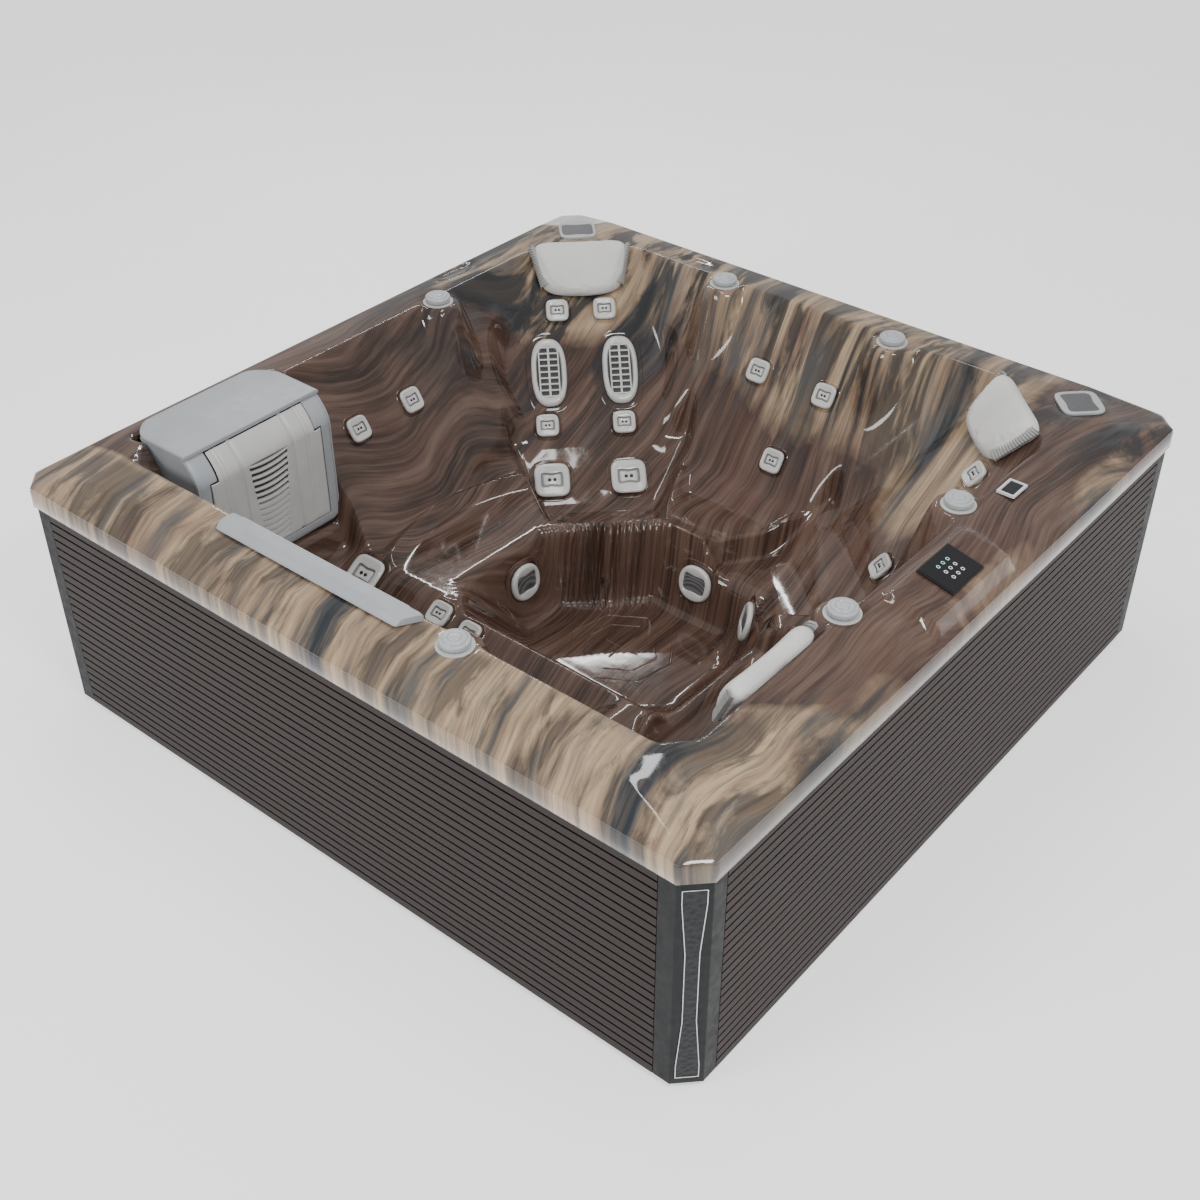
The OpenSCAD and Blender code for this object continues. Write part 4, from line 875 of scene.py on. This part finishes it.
def swell(obj, pressure, cap):
    """Puffs a closed form with cloth, and limits how far a point may go."""
    bpy.context.view_layer.objects.active = obj
    remesh = obj.modifiers.new("even", "REMESH")
    remesh.mode = "VOXEL"
    remesh.voxel_size = CLOTH_CELL
    bpy.ops.object.select_all(action="DESELECT")
    obj.select_set(True)
    bpy.ops.object.modifier_apply(modifier="even")
    rest = np.array([v.co for v in obj.data.vertices], float)
    cloth = obj.modifiers.new("swell", "CLOTH")
    foam = cloth.settings
    foam.use_pressure = True
    foam.uniform_pressure_force = pressure
    foam.effector_weights.gravity = 0
    foam.tension_stiffness = foam.compression_stiffness = 30
    foam.bending_stiffness = 2.0
    for f in range(1, CLOTH_FRAMES + 1):
        bpy.context.scene.frame_set(f)
    bpy.ops.object.modifier_apply(modifier="swell")
    now = np.array([v.co for v in obj.data.vertices], float)
    move = now - rest
    length = np.linalg.norm(move, axis=1)[:, None]
    move *= np.minimum(1.0, cap / np.maximum(length, 1e-9))
    obj.data.vertices.foreach_set("co", (rest + move).astype(np.float32).ravel())
    obj.data.update()
    bpy.context.scene.frame_set(1)


REST_POINTS = 72
# Rings of a headrest: widths at its upper and lower edge, start and end down the slope, height, bulge
REST_RINGS = [(0.318, 0.236, -0.014, 0.146, 0.002, 0.01), (0.334, 0.258, -0.018, 0.154, 0.008, 0.011),
              (0.34, 0.264, -0.021, 0.157, 0.018, 0.012), (0.334, 0.244, -0.02, 0.154, 0.03, 0.012),
              (0.326, 0.224, -0.017, 0.149, 0.04, 0.011), (0.314, 0.206, -0.012, 0.142, 0.0455, 0.01)]


def rest_ring(top_w, low_w, v0, v1, z, bulge, shrink=1):
    """Outline of a headrest: wide at the upper edge, rounded corners, its lower edge bulging down."""
    ring = []
    for i in range(REST_POINTS):
        a = 2 * math.pi * i / REST_POINTS
        c, s = math.cos(a), math.sin(a)
        r = (abs(c) ** 5 + abs(s) ** 5) ** -0.2 * shrink
        down, over = r * c, r * s
        t = (down + 1) / 2
        half = (top_w + (low_w - top_w) * t) / 2
        v = v0 + (v1 - v0) * t + bulge * (1 - over * over) * t * t
        crown = 0.007 * (1 - down * down) - 0.005 * (1 - over * over) if shrink < 1 else 0.0
        ring.append((v, over * half, z + crown))
    return ring


def headrest_form(point, direction):
    rings = [rest_ring(*row) for row in REST_RINGS]
    last = REST_RINGS[-1]
    rings += [rest_ring(*last[:4], last[4] + 0.0015, last[5], k) for k in (0.94, 0.8, 0.6, 0.4, 0.2, 0.05)]
    return loft(placed(rings, point, direction), True, True)


# Grey of the ribbed flanks: painted shade between the ribs
RIB_SHADE = moulded("headrest_ribs", (0.36, 0.36, 0.355), 0.5, 0.05)
RIB_COUNT = 16
rests = {
    "headrest_corner": (np.append(FAR * REACH, TOP) + np.append(np.array(ALONG) * 0.007, 0), FAR_DIR),
    "headrest_right": (np.append(RIGHT * REACH, TOP), unit((-0.5, 0.5, 1 / R2))),
    "headrest_front": (np.array((-0.575, -INNER, TOP)), unit((0, 1, 0.5)))}
for name, (point, direction) in rests.items():
    pad = piece(name + "_pad", *headrest_form(point, direction), SKIN, slot="headrest_foam")
    swell(pad, 4.0, 0.004)
    pad.data.polygons.foreach_set("use_smooth", [True] * len(pad.data.polygons))
    sub = pad.modifiers.new("smooth", "SUBSURF")
    sub.levels = sub.render_levels = 1
    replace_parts(pad, name)
    # Ribbed flanks: wavy strips that lie on the two sloping ends, coloured grey as painted shade between the
    # ribs
    strips = []
    side, shoulder = REST_RINGS[2], REST_RINGS[5]
    for s in (-1, 1):
        rows = []
        for t in np.linspace(0.06, 0.9, RIB_COUNT * 8 + 1):
            wave = 0.0022 + 0.0013 * math.cos(2 * math.pi * RIB_COUNT * (t - 0.06) / 0.84)
            row = []
            for q in np.linspace(0, 1, 6):
                a, b = [(r[0] + (r[1] - r[0]) * t) / 2 for r in (side, shoulder)]
                half = a + (b - a) * q + 0.005 * math.sin(math.pi * q)
                low, high = [r[2] + (r[3] - r[2]) * t for r in (side, shoulder)]
                v = low * (1 - q) + high * q
                lift = wave if 0 < q < 1 else -0.003
                row.append((v, s * (half + lift), side[4] + (shoulder[4] - side[4]) * q + lift * 0.6))
            rows.append(row)
        verts = [p for row in placed(rows, point, direction) for p in row]
        faces = quads(len(rows), len(rows[0]), False)
        strips.append((verts, [f[::-1] for f in faces] if s > 0 else faces))
    piece(name + "_ribs", *join_parts(strips), RIB_SHADE, slot="headrest_foam")


# ---- small display on the front rim ----

display_lo, display_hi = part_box("display_bezel")
window = box_rings(display_lo.x, display_hi.x, display_lo.y, display_hi.y,
                   ((0.0075, display_hi.z - 0.0018), (0.0085, display_hi.z - 0.0008)))
piece("display_window", *loft(window, False, True), display_glass, slot="screen_glass", smooth=0)


# ---- filter ----

def slab(outline_front, thickness):
    """Closed plate from (x, y, z) outline points, thickened towards +Y."""
    back = [(x, y + thickness, z) for x, y, z in outline_front]
    n = len(outline_front)
    verts = list(outline_front) + back
    faces = [list(range(n)), list(range(2 * n - 1, n - 1, -1))]
    faces += [(i, n + i, n + (i + 1) % n, (i + 1) % n) for i in range(n)]
    return verts, faces


door_lo, door_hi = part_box("filter_door")
FRONT_Y = filter_lo.y
LEAN_Z = 0.725
LEAN = 0.05


def lean_back(z):
    """How far the filter's face leans back at a height."""
    t = np.clip((z - LEAN_Z) / (TOP - LEAN_Z), 0, 1)
    return LEAN * t ** 1.8


def face_sheet(name, x0, x1, z0, z1, y, mat, slot, body, keep, thickness, nx, nz):
    """Front sheet of a moulding: a grid over (x, z) where keep(x, z) is true, bowed and thickened."""
    xs, zs = np.linspace(x0, x1, nx), np.linspace(z0, z1, nz)
    gx, gz = np.meshgrid(xs, zs)
    gy = y(gx, gz)
    verts = np.column_stack([gx.ravel(), gy.ravel(), gz.ravel()])
    mid = keep((gx[:-1, :-1] + gx[1:, 1:]) / 2, (gz[:-1, :-1] + gz[1:, 1:]) / 2)
    faces = []
    for r in range(nz - 1):
        for c in range(nx - 1):
            if mid[r, c]:
                a = r * nx + c
                faces.append((a, a + 1, a + nx + 1, a + nx))
    obj = piece(name, verts, faces, mat, slot, body, smooth=35)
    bpy.context.view_layer.objects.active = obj
    thick = obj.modifiers.new("thick", "SOLIDIFY")
    thick.thickness = thickness
    thick.offset = -1
    obj.data.update()
    return obj


DOOR_X = (door_lo.x + 0.01, door_hi.x - 0.01)
MID_X = (DOOR_X[0] + DOOR_X[1]) / 2
DOOR_Z = (door_lo.z, TOP - 0.004)


def vent_half(z):
    """Half-width of the louvred column, wider towards the top."""
    t = (z - DOOR_Z[0]) / (0.735 - DOOR_Z[0])
    return 0.04 + 0.03 * np.clip(t, 0, 1)


def door_y(x, z):
    groove = 0
    for c, w, d in ((0.092, 0.006, 0.005), (0.14, 0.003, 0.0022), (0.152, 0.003, 0.0022)):
        groove = groove + d * np.exp(-((np.abs(x - MID_X) - c) / w) ** 4)
    edge = np.minimum(np.minimum(x - DOOR_X[0], DOOR_X[1] - x), z - DOOR_Z[0])
    round_off = 0.004 * np.exp(-np.clip(edge, 0, 1) / 0.004)
    return FRONT_Y - 0.004 + lean_back(z) + groove + round_off


def in_door(x, z):
    off = np.abs(x - MID_X)
    notch = (off > DOOR_X[1] - MID_X - 0.026) & (z > 0.728)
    vent = (off < vent_half(z)) & (z > DOOR_Z[0] + 0.018) & (z < 0.728)
    return ~notch & ~vent


door = face_sheet("filter_door_front", DOOR_X[0], DOOR_X[1], DOOR_Z[0], DOOR_Z[1], door_y, DOOR,
                  "door_plastic", "filter_door", in_door, 0.0035, 120, 130)
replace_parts(door, "filter_door")

LOUVRES = 14
louvres = []
for k in range(LOUVRES):
    share = k / (LOUVRES - 1)
    z = DOOR_Z[0] + 0.03 + (0.724 - DOOR_Z[0] - 0.03) * share
    half = float(vent_half(z)) + 0.003
    tall = 0.0095 - 0.005 * step(0.4, 0.62, share)
    rings = []
    for u in np.linspace(-1, 1, 17):
        mid = z - 0.009 * (1 - u * u)
        blade = ((-0.003, tall * 0.8), (-0.0045, 0), (-0.003, -tall), (0.004, -tall), (0.004, tall * 0.8))
        rings.append([(MID_X + u * half, FRONT_Y + deep, mid + rise) for deep, rise in blade])
    louvres.append(loft(rings, True, True))
piece("filter_louvres", *join_parts(louvres), DOOR, body="filter_door", slot="door_plastic", smooth=30)
# Dark sheet behind the louvres: painted shade in the gaps between the blades
vent_shade_sheet = [(MID_X + s * (vent_half(z) + 0.004), FRONT_Y + 0.004, z)
             for s, z in ((-1, DOOR_Z[0] + 0.014), (1, DOOR_Z[0] + 0.014), (1, 0.733), (-1, 0.733))]
piece("filter_vent_shade_sheet", *slab(vent_shade_sheet, 0.003), DARK, body="filter_door", slot="door_plastic", smooth=0)

FR_X = (filter_lo.x, filter_hi.x)
FR_Z = (filter_lo.z, TOP + 0.002)


def frame_y(x, z):
    edge = np.minimum(np.minimum(x - FR_X[0], FR_X[1] - x), z - FR_Z[0])
    return FRONT_Y + lean_back(z) + 0.01 * np.exp(-np.clip(edge, 0, 1) / 0.008)


def in_frame(x, z):
    low_cut = (z - FR_Z[0]) + np.minimum(x - FR_X[0], FR_X[1] - x) > 0.03
    door_gap = (x > DOOR_X[0] - 0.003) & (x < DOOR_X[1] + 0.003) & (z > DOOR_Z[0] - 0.003)
    notch = (np.abs(x - MID_X) > DOOR_X[1] - MID_X - 0.023) & (z > 0.731)
    return low_cut & (~door_gap | notch)


cheeks = []
profile = [(FRONT_Y + 0.003 + lean_back(z), z) for z in np.linspace(filter_lo.z + 0.04, TOP, 24)]
profile += [(INNER + 0.03, TOP), (INNER - 0.12, filter_lo.z + 0.04)]
for x0 in (FR_X[0] + 0.002, FR_X[1] - 0.006):
    ring = [[(x0 + d, y, z) for y, z in profile] for d in (0.0, 0.004)]
    cheeks.append(loft(ring, True, True))
piece("filter_cheeks", *join_parts(cheeks), GREY, slot="filter_plastic", smooth=30)

surround = face_sheet("filter_surround", FR_X[0], FR_X[1], FR_Z[0], FR_Z[1], frame_y, GREY,
                      "filter_plastic", "tub", in_frame, 0.004, 150, 120)
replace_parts(surround, "filter_frame")


PLATE_ROUND = 0.03


def plate_outline(inset, z):
    """Rounded outline of the filter's top plate."""
    back = INNER + 0.082 - inset
    front = FRONT_Y + LEAN - 0.008 + inset * 0.4
    pts = [(FR_X[0] + inset, front), (FR_X[1] - inset, front), (FR_X[1] - inset, back - 0.062),
           (FR_X[1] - 0.05 - inset, back), (FR_X[0] + 0.05 + inset, back), (FR_X[0] + inset, back - 0.05)]
    out = []
    n = len(pts)
    for i in range(n):
        p, a, b = (np.array(pts[k % n]) for k in (i, i - 1, i + 1))
        if i < 2:
            out.append((*p, z))
            continue
        start, end = p + unit(a - p) * PLATE_ROUND, p + unit(b - p) * PLATE_ROUND
        for t in np.linspace(0, 1, 7):
            out.append((*(start * (1 - t) ** 2 + 2 * p * t * (1 - t) + end * t * t), z))
    return out


plate_rows = [(0.0, 0.0003), (0.0, 0.006), (0.0012, 0.0092), (0.004, 0.0112), (0.01, 0.012)]
plate = [plate_outline(i, TOP + z) for i, z in plate_rows]
piece("filter_top_plate", *loft(plate, True, True), GREY, slot="filter_plastic", smooth=35)


# ---- the bar on the left rim ----

bar_lo, bar_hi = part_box("waterfall_bar")
bar_w = bar_hi.x - bar_lo.x
bar_base = TOP + 0.0003
section = [(0.0, 0.0), (1.0, 0.0), (1.0, 0.1), (1.0, 0.86), (0.985, 0.94), (0.95, 0.985), (0.88, 1.0),
           (0.52, 1.0), (0.4, 0.985), (0.3, 0.94), (0.2, 0.82), (0.06, 0.3), (0.0, 0.08)]
loops = []
for s in (0.0, 0.02, 0.25, 0.5, 0.75, 0.985, 1.0):
    y = bar_lo.y + (bar_hi.y - bar_lo.y) * s
    shrink = 0.94 if s in (0.0, 1.0) else 1.0
    ring = []
    for u, v in section:
        skew = (1 - u) * bar_w * 0.55 * (1 - s) ** 6
        ring.append((bar_lo.x + bar_w * (0.5 + (u - 0.5) * shrink), y + skew, bar_base + 0.02 * v * shrink))
    loops.append(ring)
bar_piece = piece("waterfall_rail", *loft(loops[::-1], True, True), GREY, slot="filter_plastic", smooth=45)
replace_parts(bar_piece, "waterfall_bar")


# ---- soft edges for the CAD pieces that stay ----

def soften(name, width):
    obj = nodes[name]
    weld = obj.modifiers.new("join", "WELD")
    weld.merge_threshold = 0.00005
    bevel = obj.modifiers.new("edge", "BEVEL")
    bevel.width = width
    bevel.segments = 2
    bevel.limit_method = "ANGLE"
    bevel.angle_limit = math.radians(40)
    bevel.harden_normals = False


for name, width in (("corner_posts", 0.0018), ("display_bezel", 0.0012), ("touch_bezel", 0.001),
                    ("waterfall_lip", 0.0015), ("light_bezels", 0.0005)):
    soften(name, width)


# ---- studio ----

FLOOR = 30.0
floor_mesh = bpy.data.meshes.new("floor")
floor_mesh.from_pydata([(x * FLOOR, y * FLOOR, 0) for x, y in ((-1, -1), (1, -1), (1, 1), (-1, 1))], [],
                       [(0, 1, 2, 3)])
floor_mesh.materials.append(floor_paint())
floor = bpy.data.objects.new("floor", floor_mesh)
link(floor)

world = bpy.data.worlds.new("studio")
bpy.context.scene.world = world
world.use_nodes = True
sky = world.node_tree.nodes["Background"]
sky.inputs["Color"].default_value = (1.0, 1.0, 1.0, 1)
sky.inputs["Strength"].default_value = 0.6


def area_light(name, at, aim, size, power):
    data = bpy.data.lights.new(name, "AREA")
    data.shape = "RECTANGLE"
    data.size, data.size_y = size
    data.energy = power
    obj = bpy.data.objects.new(name, data)
    obj.location = at
    obj.rotation_euler = (Vector(aim) - Vector(at)).to_track_quat("-Z", "Y").to_euler()
    link(obj)


area_light("key", (-1.6, -3.2, 4.6), (0, 0, 0.4), (1.6, 0.7), 110)
area_light("fill", (-4.6, 0.8, 3.2), (0, 0, 0.4), (1.6, 1.0), 70)
area_light("back", (2.6, 3.4, 3.6), (0, 0, 0.5), (2.6, 0.12), 35)
area_light("overhead", (0.3, 0.3, 4.4), (0, 0, 0.3), (0.3, 2.0), 30)

camera = bpy.data.cameras.new("camera")
camera.lens = 49.12
camera.sensor_width = 36
camera.shift_x = -0.0143
camera.shift_y = 0.013
yaw, pitch, roll = [math.radians(a) for a in (38.956, 37.408, 0.288)]
ahead = Vector((math.cos(pitch) * math.cos(yaw), math.cos(pitch) * math.sin(yaw), -math.sin(pitch)))
right = Vector((math.sin(yaw), -math.cos(yaw), 0))
above = right.cross(ahead)
side = right * math.cos(roll) + above * math.sin(roll)
above = above * math.cos(roll) - right * math.sin(roll)
eye = bpy.data.objects.new("camera", camera)
turn = [[side[i], above[i], -ahead[i]] for i in range(3)]
eye.matrix_world = Matrix.Translation((-3.023, -2.4481, 3.1357)) @ Matrix(turn).to_4x4()
link(eye)
bpy.context.scene.camera = eye

bpy.context.view_layer.update()
